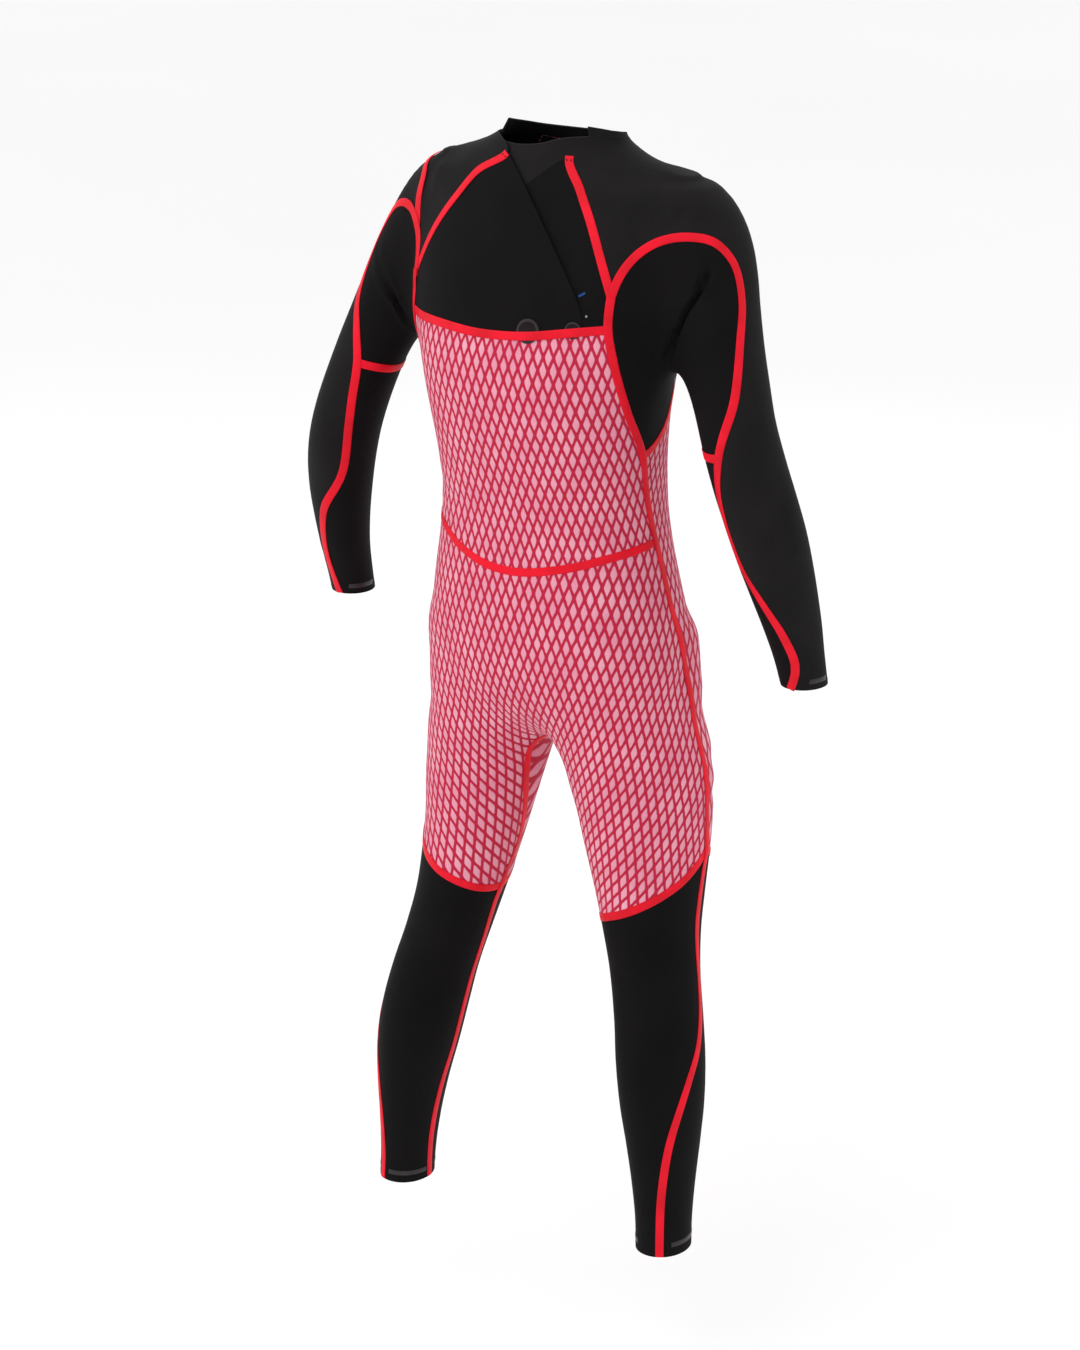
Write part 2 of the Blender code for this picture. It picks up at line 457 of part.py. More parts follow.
def trace_chain(chain, side, level=False):
    """Seam stretches of one chain: {name: points on the form}."""
    items = []
    for item in chain:
        items.extend(item[side] if isinstance(item, dict) else [item])
    height = mark_point(chain[0], side)[2] if level else 0.0
    points, stretches, mark_at = [], [], {}
    for item in items:
        if isinstance(item, str):
            mark_at[len(points)] = mark_point(item, side)
            points.append(mark_at[len(points)])
            if stretches and stretches[-1][3] is None:
                stretches[-1][3] = len(points) - 1
        elif isinstance(item[0], str):
            stretches.append([item[0], item[1], len(points) - 1, None])
        else:
            x = item[0] * SIGN[side] if side else item[0]
            points.append(np.array([x, item[1], height if level else item[2]]))
    line, index = smooth_line(points)
    line = onto_form(line, level=level)
    found = {}
    for name, count, start, end in stretches:
        stretch = spread(line[index[start]:index[end] + 1], count)
        stretch = onto_form(stretch, level=level)
        stretch[0], stretch[-1] = mark_at[start], mark_at[end]
        found[name] = stretch
    return found


def trace_all():
    """Every seam stretch, keyed name@side or name."""
    found = {}
    for side in SIGN:
        for chains, level in ((SIDE_CHAINS, False), (LEVEL_CHAINS, True)):
            for chain in chains:
                for name, line in trace_chain(chain, side, level).items():
                    found[f"{name}@{side}"] = line
    for chain in MIDDLE_CHAINS:
        found.update(trace_chain(chain, None))
    for name in ("centre_back", "centre_front"):
        found[name][:, 0] = 0.0
    found["waist_half@left"] = found["waist_left"]
    found["waist_half@right"] = found["waist_right"][::-1]
    return found


def stretch_of(seams, word, side):
    """One stretch by its word in the tables, turned round if it has a minus sign."""
    name = word.lstrip("-")
    line = seams[name if name in seams else f"{name}@{side}"]
    return line[::-1] if word[0] == "-" else line


def join_stretches(seams, words, side):
    """One line from several stretches."""
    lines = []
    for word in words.split():
        line = stretch_of(seams, word, side)
        lines.append(line if not lines else line[1:])
    return np.concatenate(lines)


def shares(points):
    """Distance along a line, from 0 to 1."""
    distance = along(points)
    return distance / distance[-1]


def between_edges(first_row, last_row, first_column, last_column):
    """Fill in a grid between its four edges."""
    u = (shares(first_row) + shares(last_row))[None, :, None] / 2
    v = (shares(first_column) + shares(last_column))[:, None, None] / 2
    across = (1 - v) * first_row[None] + v * last_row[None]
    down = (1 - u) * first_column[:, None] + u * last_column[:, None]
    corners = ((1 - u) * (1 - v) * first_row[0] + u * (1 - v) * first_row[-1]
               + (1 - u) * v * last_row[0] + u * v * last_row[-1])
    return across + down - corners


def guide_line(name, side, start, end, rows):
    """The line that leads a wide panel's middle column over the form."""
    lines, here = [], start
    for count, on_way, stop in GUIDES[name][1]:
        points = [here] + [np.array([SIGN[side] * p[0], p[1], p[2]]) for p in on_way]
        stop = end if stop is None else onto_form((SIGN[side] * stop[0], stop[1], stop[2]))[0]
        line, _ = smooth_line(points + [stop])
        line = spread(onto_form(line), count or rows)
        line[0], line[-1] = here, stop
        lines.append(line if not lines else line[1:])
        here = stop
    return np.concatenate(lines)


def lay_grid(edges, guide, side, rounds=24):
    """Grid of points on the form between four edges.

    The rounds even it out the elliptic way, which keeps a grid from folding over
    an edge that curves into it.
    """
    first_row, last_row, first_column, last_column = edges
    if guide:
        column = GUIDES[guide][0] or (len(first_row) - 1) // 2
        middle = guide_line(guide, side, first_row[column], last_row[column], len(first_column) - 1)
        halves = [between_edges(first_row[:column + 1], last_row[:column + 1], first_column, middle),
                  between_edges(first_row[column:], last_row[column:], middle, last_column)]
        grid = np.concatenate([halves[0], halves[1][:, 1:]], axis=1)
    else:
        grid = between_edges(*edges)
    inner = grid[1:-1, 1:-1]
    inner[:] = onto_form(inner).reshape(inner.shape)
    for _ in range(rounds):
        east, west = grid[1:-1, 2:], grid[1:-1, :-2]
        south, north = grid[2:, 1:-1], grid[:-2, 1:-1]
        across, down = (east - west) / 2, (south - north) / 2
        a = (down * down).sum(-1, keepdims=True)
        b = (across * down).sum(-1, keepdims=True)
        c = (across * across).sum(-1, keepdims=True)
        twist = (grid[2:, 2:] - grid[:-2, 2:] - grid[2:, :-2] + grid[:-2, :-2]) / 4
        target = (a * (east + west) + c * (south + north) - 2 * b * twist) / (2 * (a + c))
        inner[:] = onto_form(inner * 0.3 + target * 0.7, rounds=1).reshape(inner.shape)
    inner[:] = onto_form(inner).reshape(inner.shape)
    return grid


def overlap_raise(points, seams):
    """How far the closure's upper layer stands up, by distance from its edge."""
    edge = np.concatenate([seams["neck_drop@left"], seams["slit"][1:]])
    flat = points.reshape(-1, 3)
    best = np.full(len(flat), 9.0)
    for a, b in zip(edge[:-1], edge[1:]):
        t = np.clip(((flat - a) @ (b - a)) / ((b - a) @ (b - a)), 0, 1)
        best = np.minimum(best, np.linalg.norm(flat - a - t[:, None] * (b - a), axis=1))
    near, far = OVERLAP_FADE
    lift = OVERLAP_RAISE * ease(-best, -far, -near) * ease(flat[:, 2], *OVERLAP_FOOT)
    return lift.reshape(points.shape[:-1])


def unit(vectors):
    """Vectors of length 1, or of length 0 where there is none."""
    return vectors / np.maximum(np.linalg.norm(vectors, axis=-1, keepdims=True), 1e-12)


def cut_back(grid, welds=()):
    """Move a grid's free edges in by half a seam gap."""
    rows, columns = grid.shape[:2]
    free = {"top": np.ones((columns, 1)), "bottom": np.ones((columns, 1)),
            "first": np.ones((rows, 1)), "last": np.ones((rows, 1))}
    for border, start, end in welds:
        free[border][start:end + 1] = 0
    move = np.zeros_like(grid)
    move[0] += unit(grid[1] - grid[0]) * free["top"]
    move[-1] += unit(grid[-2] - grid[-1]) * free["bottom"]
    move[:, 0] += unit(grid[:, 1] - grid[:, 0]) * free["first"]
    move[:, -1] += unit(grid[:, -2] - grid[:, -1]) * free["last"]
    return grid + move * HALF_GAP


def close_welds(grids):
    """Bring points of one piece of cloth together where its grids are joined."""
    for i, mine in enumerate(grids):
        for its in grids[i + 1:]:
            apart = np.linalg.norm(mine[0][:, :, None, None] - its[0][None, None], axis=-1)
            for row, column, its_row, its_column in np.argwhere(apart < 2.5 * HALF_GAP):
                for a, b in zip(mine, its):
                    mean = (a[row, column] + b[its_row, its_column]) / 2
                    a[row, column] = b[its_row, its_column] = mean


def lay_panels(seams):
    """All panels: {node: [(outer grid, inner grid)]}."""
    shells = {}
    sides = {"sides": ("right", "left"), "halves": ("right", "left"), "whole": (None,)}
    for name, where, top, bottom, first, last, guide in PANELS:
        for side in sides[where]:
            edges = [join_stretches(seams, words, side) for words in (top, bottom, first, last)]
            grid = lay_grid(edges, guide, side)
            normal = outward(grid)
            piece = f"{name}_{side}" if side else name
            if piece in ("yoke_over", "shoulder_left"):
                grid = grid + normal * overlap_raise(grid, seams)[..., None]
            node, welds = WELDS.get(piece, (piece, ()))
            outer = cut_back(grid, welds)
            if where == "halves":   # the point between the legs is cut back along the middle
                row = welds[0][2]
                outer[row, -1] = grid[row, -1] + unit(grid[row - 1, -1] - grid[row, -1]) * HALF_GAP
            shells.setdefault(node, []).append((outer, outer - normal * WALL))
    for grids in shells.values():
        close_welds(grids)
    return shells


def lay_collar(seams):
    """The standing collar, from the back of the right side round to the left."""
    foot = np.concatenate([seams["neck_side@right"], seams["neck_fore@right"][1:],
                           seams["neck_fore@left"][::-1][1:], seams["neck_side@left"][::-1][1:]])
    rim, _ = smooth_line([onto_form(point)[0] for point in COLLAR])
    rim = onto_form(spread(onto_form(rim), len(foot) - 1))
    sides = [spread(np.array([foot[i], rim[i]]), COLLAR_ROWS) for i in (0, -1)]
    grid = lay_grid([foot, rim, sides[0], sides[1]], None, None, rounds=0)
    normal = outward(grid)
    outer = cut_back(grid)
    return outer, outer - normal * WALL


def tape_rows(seams, side, words):
    """Three lines of points along a seam: beside it, on it and on its other side."""
    centre = join_stretches(seams, words, side)
    ahead = unit(np.gradient(centre, axis=0))
    lateral = unit(np.cross(outward(centre), ahead))
    rows = [centre + lateral * TAPE_HALF_WIDTH, centre, centre - lateral * TAPE_HALF_WIDTH]
    return np.stack([onto_form(row) for row in rows], axis=1)


def cut_tape(grid, start_cut, end_cut):
    """Shorten a tape at both ends."""
    distance = along(grid[:, 1])
    last = distance[-1] - end_cut
    low, high = start_cut + TAPE_STEP_LEAST, last - TAPE_STEP_LEAST
    stops = [start_cut] + [d for d in distance if low < d < high] + [last]
    lines = [np.column_stack([np.interp(stops, distance, grid[:, row, axis]) for axis in range(3)])
             for row in range(3)]
    return np.stack(lines, axis=1)


class Ground:
    """Everything laid so far, to lay the next piece on."""

    def __init__(self):
        self.points, self.faces, self.tree = [], [], None

    def add(self, mesh):
        """Add a closed mesh."""
        start = len(self.points)
        self.points.extend(vert.co.copy() for vert in mesh.vertices)
        self.faces.extend(tuple(start + i for i in face.vertices) for face in mesh.polygons)
        self.tree = None

    def grow(self):
        """Make the search tree again after something was added."""
        if self.tree is None:
            self.tree = BVHTree.FromPolygons(self.points, self.faces)

    def touching(self, mesh):
        """Corners of a mesh's triangles that cross what is laid so far."""
        self.grow()
        points = [np.array(vert.co) for vert in mesh.vertices]
        faces = [tuple(face.vertices) for face in mesh.polygons]
        crossing = BVHTree.FromPolygons(points, faces).overlap(self.tree)
        return [points[i] for face, _ in crossing for i in faces[face]]

    def height(self, point, normal):
        """Height of the ground over a point, along its normal."""
        self.grow()
        start = Vector(point - np.array(ORIGIN) + normal * PROBE_START)
        hit = self.tree.ray_cast(start, Vector(-normal), PROBE_LENGTH)[3]
        return -1.0 if hit is None else PROBE_START - hit

    def settle(self, grid, normal, lift, rounds=3):
        """Lift a grid's points until no part of it is nearer than TAPE_LIFT to the ground."""
        for _ in range(rounds):
            low = grid + normal * lift[..., None]
            need = np.zeros_like(lift)
            for row in range(grid.shape[0] - 1):
                for column in range(grid.shape[1] - 1):
                    for u in (0.0, 0.25, 0.5, 0.75, 1.0):
                        for v in (0.0, 0.5, 1.0):
                            share = np.array([[(1 - u) * (1 - v), (1 - u) * v], [u * (1 - v), u * v]])
                            block = (slice(row, row + 2), slice(column, column + 2))
                            point = (low[block] * share[..., None]).sum(axis=(0, 1))
                            way = unit((normal[block] * share[..., None]).sum(axis=(0, 1)))
                            over = self.height(point, way) + TAPE_LIFT
                            if over > 0:
                                need[block] = np.maximum(need[block], np.where(share > 0, over, 0))
            lift = lift + need
        return lift


def add_sheet(bm, outer, inner):
    """Add one grid of a sheet, remembering where its inner side lies."""
    layer = bm.verts.layers.float_vector["inner"]
    rows, columns = outer.shape[:2]
    made = bmesh.ops.create_grid(bm, x_segments=columns - 1, y_segments=rows - 1, size=1.0)["verts"]
    for vert in made:
        column = round((vert.co.x + 1) / 2 * (columns - 1))
        row = round((vert.co.y + 1) / 2 * (rows - 1))
        vert[layer] = inner[row, column]
        vert.co = outer[row, column]


def finish_mesh(bm):
    """Triangles, all facing out."""
    bmesh.ops.triangulate(bm, faces=bm.faces, quad_method="SHORT_EDGE")
    bmesh.ops.recalc_face_normals(bm, faces=bm.faces)
    if bm.calc_volume(signed=True) < 0:
        bmesh.ops.reverse_faces(bm, faces=bm.faces)


def sheet_mesh(name, grids):
    """A closed mesh with the outer and inner grids as its two sides."""
    bm = bmesh.new()
    bm.verts.layers.float_vector.new("inner")
    for outer, inner in grids:
        add_sheet(bm, outer, inner)
    if len(grids) > 1:
        bmesh.ops.remove_doubles(bm, verts=bm.verts, dist=2e-6)
    bmesh.ops.triangulate(bm, faces=bm.faces, quad_method="SHORT_EDGE")
    made = bmesh.ops.extrude_face_region(bm, geom=bm.faces[:], use_keep_orig=True)["geom"]
    layer = bm.verts.layers.float_vector["inner"]
    for item in made:
        if isinstance(item, bmesh.types.BMVert):
            item.co = item[layer]
    bm.verts.layers.float_vector.remove(layer)
    finish_mesh(bm)
    bmesh.ops.translate(bm, verts=bm.verts, vec=[-value for value in ORIGIN])
    mesh = bpy.data.meshes.new(name)
    bm.to_mesh(mesh)
    bm.free()
    return mesh


def lay_tape(name, grid, ground):
    """One tape as a closed mesh, raised a step wherever it still touches something."""
    normal = outward(grid)
    lift = ground.settle(grid, normal, np.full(grid.shape[:2], TAPE_LIFT))
    while True:
        bottom = grid + normal * lift[..., None]
        mesh = sheet_mesh(name, [(bottom + normal * TAPE_THICKNESS, bottom)])
        touching = ground.touching(mesh)
        if not touching or lift.max() > TAPE_LIFT_MOST:
            return mesh
        raised = np.zeros(lift.shape)
        for point in touching:
            apart = np.linalg.norm(bottom - np.array(ORIGIN) - point, axis=-1)
            raised[np.unravel_index(apart.argmin(), apart.shape)] = TAPE_LIFT
        lift = lift + raised
        bpy.data.meshes.remove(mesh)


# ------------------------------------------------------------------ build ----
FINISHES = {   # base colour, roughness
    "neoprene": ((0.013, 0.013, 0.015), 0.70),
    "plush": ((0.66, 0.20, 0.27), 0.90),
    "tape": ((0.62, 0.010, 0.025), 0.45),
    "patch": ((0.030, 0.022, 0.024), 0.25),
    "bead": ((0.70, 0.70, 0.68), 0.40),
    "tag": ((0.08, 0.25, 0.72), 0.60),
}
PLUSH_PANELS = ("back_body", "seat", "front_body")


def add_object(name, mesh, finish, collection):
    """Put a mesh in the collection with a material of its own."""
    colour, roughness = FINISHES[finish]
    material = bpy.data.materials.new(name)
    material.use_nodes = True
    shader = material.node_tree.nodes["Principled BSDF"]
    shader.inputs["Base Color"].default_value = (*colour, 1.0)
    shader.inputs["Roughness"].default_value = roughness
    shader.inputs["Metallic"].default_value = 0.0
    mesh.materials.append(material)
    mesh.shade_smooth()
    mesh.set_sharp_from_angle(angle=np.radians(50))
    obj = bpy.data.objects.new(name, mesh)
    collection.objects.link(obj)
    return obj


def add_patch(name, centre, radius, levelled, ground, collection):
    """A round patch that lies on the panels: a fan of triangles, thickened."""
    centre = onto_form(centre)[0]
    normal = outward(centre[None])[0]
    across = unit(np.cross(normal, (0.0, 0.0, 1.0)))
    up = np.cross(across, normal)
    bm = bmesh.new()
    bmesh.ops.create_circle(bm, cap_ends=True, cap_tris=True, segments=20, radius=radius)
    for vert in bm.verts:
        point = onto_form(centre + across * vert.co.x + up * vert.co.y)[0]
        rise = max(ground.height(point, normal), 0.0) + TAPE_LIFT
        vert.co = point + normal * rise - np.array(ORIGIN)
    if levelled:
        level = max((np.array(vert.co) + np.array(ORIGIN) - centre) @ normal for vert in bm.verts)
        for vert in bm.verts:
            here = (np.array(vert.co) + np.array(ORIGIN) - centre) @ normal
            vert.co += Vector(normal) * (level - here) * levelled
    made = bmesh.ops.extrude_face_region(bm, geom=bm.faces[:], use_keep_orig=True)["geom"]
    new = [item for item in made if isinstance(item, bmesh.types.BMVert)]
    bmesh.ops.translate(bm, verts=new, vec=Vector(normal) * PATCH_THICKNESS)
    finish_mesh(bm)
    mesh = bpy.data.meshes.new(name)
    bm.to_mesh(mesh)
    bm.free()
    ground.add(mesh)
    return add_object(name, mesh, "patch", collection)


def add_small_piece(name, finish, centre, half, way, ground, collection):
    """A small block or bead that lies on the panels."""
    centre = onto_form(centre)[0]
    normal = outward(centre[None])[0]
    length = unit(np.array(way) - normal * (np.array(way) @ normal))
    across = np.cross(normal, length)
    corners = [centre + length * u * half[0] + across * v * half[1] for u in (-1, 1) for v in (-1, 1)]
    rise = max(ground.height(point, normal) + (point - centre) @ normal for point in corners)
    middle = centre + normal * (rise + TAPE_LIFT + half[2])
    bm = bmesh.new()
    if finish == "bead":
        bmesh.ops.create_uvsphere(bm, u_segments=10, v_segments=6, radius=1.0)
    else:
        bmesh.ops.create_cube(bm, size=2.0)
    for vert in bm.verts:
        point = middle + sum(a * b * c for a, b, c in zip(vert.co, half, (length, across, normal)))
        vert.co = point - np.array(ORIGIN)
    finish_mesh(bm)
    mesh = bpy.data.meshes.new(name)
    bm.to_mesh(mesh)
    bm.free()
    return add_object(name, mesh, finish, collection)


def main():
    """Build the wetsuit."""
    for old in list(bpy.data.objects):
        bpy.data.objects.remove(old, do_unlink=True)
    collection = bpy.data.collections.new("steamer_wetsuit")
    bpy.context.scene.collection.children.link(collection)
    seams = trace_all()
    shells = lay_panels(seams)
    shells["collar"] = [lay_collar(seams)]
    ground = Ground()
    for name, grids in shells.items():
        mesh = sheet_mesh(name, grids)
        ground.add(mesh)
        add_object(name, mesh, "plush" if name in PLUSH_PANELS else "neoprene", collection)
    for row in PATCHES:
        add_patch(*row, ground, collection)
    for name, where, words, start_cut, end_cut in TAPES:
        for side in {"sides": ("right", "left"), "whole": (None,)}.get(where, (where,)):
            node = f"{name}_{side}" if side else name
            rows = cut_tape(tape_rows(seams, side, words), start_cut, end_cut)
            mesh = lay_tape(node, rows, ground)
            ground.add(mesh)
            add_object(node, mesh, "tape", collection)
    for row in SMALL_PIECES:
        add_small_piece(*row, ground, collection)


main()
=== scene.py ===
"""Dressed model of the steamer wetsuit, turned inside out and standing open.

The cloth is laid on the same form, and cut along the same seams, as the solids it
stands for, in finer steps.  Heights in the tables are above the floor; finished
meshes are moved so that the origin is between the shoulders.
"""

import logging
from dataclasses import dataclass, field
from enum import Enum
from typing import Any, Callable, Iterable, Optional, Sequence, Union

import bmesh
import bpy
import numpy as np
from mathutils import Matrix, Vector
from mathutils.bvhtree import BVHTree


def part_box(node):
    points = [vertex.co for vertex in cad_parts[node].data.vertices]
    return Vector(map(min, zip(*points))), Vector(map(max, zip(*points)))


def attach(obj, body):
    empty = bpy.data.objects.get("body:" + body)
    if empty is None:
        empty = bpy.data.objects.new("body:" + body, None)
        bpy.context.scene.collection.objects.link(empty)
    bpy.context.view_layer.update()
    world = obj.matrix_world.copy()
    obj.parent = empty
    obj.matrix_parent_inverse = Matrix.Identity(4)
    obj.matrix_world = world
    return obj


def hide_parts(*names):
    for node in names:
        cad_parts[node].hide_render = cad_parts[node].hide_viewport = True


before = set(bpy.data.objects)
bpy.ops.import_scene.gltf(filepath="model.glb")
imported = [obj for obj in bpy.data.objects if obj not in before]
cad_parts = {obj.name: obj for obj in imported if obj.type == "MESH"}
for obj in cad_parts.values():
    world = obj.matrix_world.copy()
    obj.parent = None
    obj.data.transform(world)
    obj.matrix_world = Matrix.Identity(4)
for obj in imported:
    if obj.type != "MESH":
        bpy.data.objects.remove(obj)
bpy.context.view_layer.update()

LOG = logging.getLogger("steamer")
Array = np.ndarray
Mesh = bpy.types.Mesh
Material = bpy.types.Material
Socket = bpy.types.NodeSocket
Point = tuple[float, float, float]
ChainItem = Union[str, Point, tuple[str, int], dict[str, list]]

ORIGIN = np.array((0.0, 0.015, 1.480))    # between the shoulders
WALL = 0.0030                     # thickness of the foam rubber
HALF_GAP = 0.00015                # half of the gap at a seam
OVERLAP_RAISE = 0.0044            # height of the closure's upper layer over the form
DETAIL = 4                        # fine steps to one step of the seam tables
SHARP_CLOTH = np.radians(60)      # an edge sharper than this stays sharp
SHARP_SMALL = np.radians(50)
SIGN = {"right": -1.0, "left": 1.0}
SIDES = {"sides": ("right", "left"), "halves": ("right", "left"), "whole": (None,),
         "left": ("left",)}


class Slot(Enum):
    """The record's material slots."""

    CHARCOAL = "charcoal_jersey"
    BLACK = "black_jersey"
    PLUSH = "plush"
    TAPE = "tape"
    PATCH = "patch"
    BEAD = "bead"
    TAG = "tag"


# ------------------------------------------------------------- helpers ----
def read_rows(table: Array, heights: Array, free_ends: bool = False) -> Array:
    """Read a table with a smooth curve through its rows.

    Args:
        table: Rows of (knot, value, value, ...).
        heights: Places to read at.
        free_ends: Whether the curve runs on straight at its two ends.

    Returns:
        One row of values for each place.
    """
    knots, values = table[:, 0], table[:, 1:]
    steps = np.diff(knots)[:, None]
    slopes = np.diff(values, axis=0) / steps
    tangents = np.zeros_like(values)
    tangents[1:-1] = (slopes[:-1] * steps[1:] + slopes[1:] * steps[:-1]) / (steps[1:] + steps[:-1])
    if free_ends:
        tangents[0] = 1.5 * slopes[0] - 0.5 * tangents[1] if len(knots) > 2 else slopes[0]
        tangents[-1] = 1.5 * slopes[-1] - 0.5 * tangents[-2] if len(knots) > 2 else slopes[-1]
    heights = np.clip(heights, knots[0], knots[-1])
    row = np.clip(np.searchsorted(knots, heights, side="right") - 1, 0, len(knots) - 2)
    step = (knots[row + 1] - knots[row])[:, None]
    t = (heights - knots[row])[:, None] / step
    return ((2 * t**3 - 3 * t**2 + 1) * values[row] + (t**3 - 2 * t**2 + t) * step * tangents[row]
            + (3 * t**2 - 2 * t**3) * values[row + 1] + (t**3 - t**2) * step * tangents[row + 1])


def ease(value: Array, low: float, high: float) -> Array:
    """Rise smoothly from 0 at low to 1 at high."""
    t = np.clip((value - low) / (high - low), 0, 1)
    return t * t * (3 - 2 * t)


def unit(vectors: Array) -> Array:
    """Vectors of length 1, or of length 0 where there is none."""
    return vectors / np.maximum(np.linalg.norm(vectors, axis=-1, keepdims=True), 1e-12)


def along(points: Array) -> Array:
    """Distance along a line of points."""
    return np.concatenate([[0.0], np.cumsum(np.linalg.norm(np.diff(points, axis=0), axis=1))])


def shares(points: Array) -> Array:
    """Distance along a line, from 0 to 1."""
    distance = along(points)
    return distance / distance[-1]


def read_line(points: Array, distance: Array, wanted: Any) -> Array:
    """Points of a line at wanted distances, from the distance of each of its own."""
    return np.stack([np.interp(wanted, distance, points[:, axis]) for axis in range(3)], axis=-1)


def read_all(items: Any, name: str, width: int = 1, kind: type = float) -> Array:
    """Read one property of all vertices, edges or loops of a mesh.

    Args:
        items: The mesh's collection.
        name: The property.
        width: How many numbers each item has.
        kind: Their type.

    Returns:
        A row for each item, or one number where the width is 1.
    """
    found = np.empty(len(items) * width, kind)
    items.foreach_get(name, found)
    return found.reshape(-1, width) if width > 1 else found


def spread(points: Array, count: int) -> Array:
    """Share a line of points out into equal steps.

    Args:
        points: The line.
        count: How many steps.

    Returns:
        One point more than there are steps.
    """
    distance = along(points)
    return read_line(points, distance, np.linspace(0, distance[-1], count + 1))


def smooth_line(points: Sequence, per_span: int = 14) -> tuple[Array, Array]:
    """Draw a smooth curve through points.

    Args:
        points: Where it passes.
        per_span: Steps from one of them to the next.

    Returns:
        The curve, and the index on it of each point.
    """
    points = np.asarray(points, float)
    knots = along(points)
    fine = np.concatenate([np.linspace(a, b, per_span, endpoint=False)
                           for a, b in zip(knots[:-1], knots[1:])] + [[knots[-1]]])
    return (read_rows(np.column_stack([knots, points]), fine, free_ends=True),
            np.arange(len(points)) * per_span)


def line_distance(points: Array, line: Array) -> tuple[Array, Array]:
    """Measure how far points are from a line.

    Args:
        points: Points in any shape of array.
        line: Points along the line.

    Returns:
        The distances, and the share of the line where it is nearest.
    """
    flat, place = points.reshape(-1, 3), shares(line)
    best, where = np.full(len(flat), 9.0), np.zeros(len(flat))
    for a, b, start, end in zip(line[:-1], line[1:], place[:-1], place[1:]):
        t = np.clip(((flat - a) @ (b - a)) / ((b - a) @ (b - a)), 0, 1)
        apart = np.linalg.norm(flat - a - t[:, None] * (b - a), axis=1)
        nearer = apart < best
        best = np.where(nearer, apart, best)
        where = np.where(nearer, start + t * (end - start), where)
    return best.reshape(points.shape[:-1]), where.reshape(points.shape[:-1])


